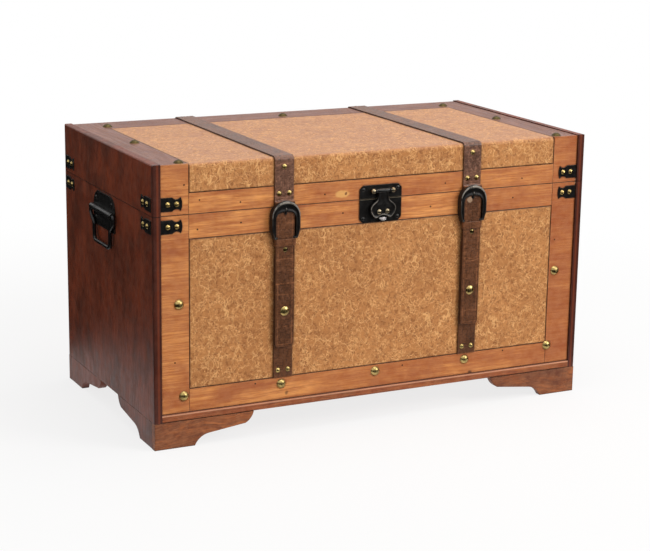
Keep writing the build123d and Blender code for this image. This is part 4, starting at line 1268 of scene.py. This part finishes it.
class TRUNK_OT_stage(Operator):
    """Sets the floor, the light and the camera"""

    bl_idname = "trunk.stage"
    bl_label = "Stage"

    def execute(self, context):
        scene, stage = context.scene, context.scene.trunk_stage
        scene.view_settings.view_transform = "Standard"
        self.floor()
        self.dark_ring()
        self.sky(scene, stage)
        self.lamp("overhead", stage.overhead, (0.3, -0.3, 3.0), (3.0, 2.4))
        self.lamp("key", stage.key, (2.4, -2.6, 2.1), (1.5, 1.5))
        self.camera(scene, stage)
        return {"FINISHED"}

    def backdrop(self, name, points, faces, material):
        mesh = bpy.data.meshes.new(name)
        mesh.from_pydata(points, [], faces)
        mesh.materials.append(material)
        thing = bpy.data.objects.new(name, mesh)
        bpy.context.scene.collection.objects.link(thing)
        return thing

    def clear_rays(self, tree):
        """1 for rays that should find a white background."""
        rays = put(tree, "LightPath")
        seen = calc(rays["Is Camera Ray"], "MAXIMUM", rays["Is Glossy Ray"])
        return calc(seen, "MAXIMUM", rays["Is Transmission Ray"])

    def floor(self):
        skin = Surface("pale_floor")
        tree = skin.tree
        skin.set(Base_Color=(0.9, 0.9, 0.9, 1.0), Roughness=0.9, Specular_IOR_Level=0.0)
        white = put(tree, "Emission", {"Color": (1, 1, 1, 1), "Strength": 1.0})[0]
        lit = self.clear_rays(tree) * (fade(size_of(skin.place), 0.6, 1.5) * 0.2 + 0.8)
        both = put(tree, "MixShader", {0: lit, 1: Value(tree, skin.shader.outputs[0]), 2: white})[0]
        tree.links.new(both.socket, tree.nodes["Material Output"].inputs["Surface"])
        self.backdrop("floor", [(-6, -6, 0), (6, -6, 0), (6, 6, 0), (-6, 6, 0)], [(0, 1, 2, 3)], skin.material)

    def dark_ring(self):
        """A low dark ring that only reflections find, so that lacquer keeps its colour and heads get a dark band."""
        skin = Surface("dark_card")
        skin.set(Base_Color=(0.02, 0.02, 0.02, 1.0), Specular_IOR_Level=0.0)
        points = []
        for x, y, z in ((0.52, 0.36, 0.002), (1.6, 1.4, 0.002), (1.6, 1.4, 0.6)):
            points += [(-x, -y, z), (x, -y, z), (x, y, z), (-x, y, z)]
        faces = [(i, (i + 1) % 4, (i + 1) % 4 + 4, i + 4) for i in range(4)]
        faces += [tuple(corner + 4 for corner in face) for face in faces]
        ring = self.backdrop("dark_ring", points, faces, skin.material)
        for ray in ("camera", "diffuse", "transmission", "shadow", "volume_scatter"):
            setattr(ring, "visible_" + ray, False)

    def sky(self, scene, stage):
        world = bpy.data.worlds.new("studio")
        world.use_nodes = True
        scene.world = world
        tree = world.node_tree
        even = tree.nodes["Background"]
        even.inputs["Color"].default_value = (1.0, 0.985, 0.97, 1.0)
        even.inputs["Strength"].default_value = stage.sky
        white = put(tree, "Background", {"Color": (1, 1, 1, 1), "Strength": 1.0})[0]
        both = put(tree, "MixShader", {0: self.clear_rays(tree), 1: Value(tree, even.outputs[0]), 2: white})[0]
        tree.links.new(both.socket, tree.nodes["World Output"].inputs["Surface"])

    def lamp(self, name, power, place, extent):
        light = bpy.data.lights.new(name, "AREA")
        light.shape = "RECTANGLE"
        light.size, light.size_y = extent
        light.energy = power
        light.color = (1.0, 0.985, 0.965)
        thing = bpy.data.objects.new(name, light)
        thing.location = place
        aim = Vector((0.0, 0.0, 0.22)) - Vector(place)
        thing.rotation_euler = aim.to_track_quat("-Z", "Y").to_euler()
        bpy.context.scene.collection.objects.link(thing)

    def camera(self, scene, stage):
        turn, tilt = stage.azimuth, stage.elevation
        sight = Vector((math.sin(turn) * math.cos(tilt), math.cos(turn) * math.cos(tilt), -math.sin(tilt)))
        right = Vector((math.cos(turn), -math.sin(turn), 0.0))
        up = right.cross(sight)
        c, s = math.cos(stage.roll), math.sin(stage.roll)
        across, above = right * c + up * s, up * c - right * s
        data = bpy.data.cameras.new("camera")
        data.sensor_fit = "HORIZONTAL"
        data.sensor_width = 36.0
        data.lens = stage.focal
        data.clip_start, data.clip_end = 0.05, 60.0
        thing = bpy.data.objects.new("camera", data)
        turned = Matrix((across, above, -sight)).transposed().to_4x4()
        thing.matrix_world = Matrix.Translation(stage.place) @ turned
        scene.collection.objects.link(thing)
        scene.camera = thing


PIECES = (
    TRUNK_OT_finishes,
    TRUNK_OT_woodwork,
    TRUNK_OT_leatherette,
    TRUNK_OT_straps,
    TRUNK_OT_buckles,
    TRUNK_OT_latch,
    TRUNK_OT_fittings,
    TRUNK_OT_stage,
)


class TRUNK_PT_panel(Panel):
    """Sizes, colours and building steps of the trunk"""

    bl_idname = "TRUNK_PT_panel"
    bl_label = "Storage trunk"
    bl_space_type = "VIEW_3D"
    bl_region_type = "UI"
    bl_category = "Trunk"

    def draw(self, context):
        for attribute, group in GROUPS:
            box = self.layout.box()
            for name in group.__annotations__:
                box.prop(getattr(context.scene, attribute), name)
        for step in PIECES:
            self.layout.operator(step.bl_idname)


def register():
    for attribute, group in GROUPS:
        bpy.utils.register_class(group)
        setattr(bpy.types.Scene, attribute, PointerProperty(type=group))
    for step in PIECES:
        bpy.utils.register_class(step)
    bpy.utils.register_class(TRUNK_PT_panel)


def unregister():
    bpy.utils.unregister_class(TRUNK_PT_panel)
    for step in reversed(PIECES):
        bpy.utils.unregister_class(step)
    for attribute, group in reversed(GROUPS):
        delattr(bpy.types.Scene, attribute)
        bpy.utils.unregister_class(group)


def main():
    register()
    for step in PIECES:
        space, name = step.bl_idname.split(".")
        getattr(getattr(bpy.ops, space), name)()


if __name__ == "__main__":
    main()
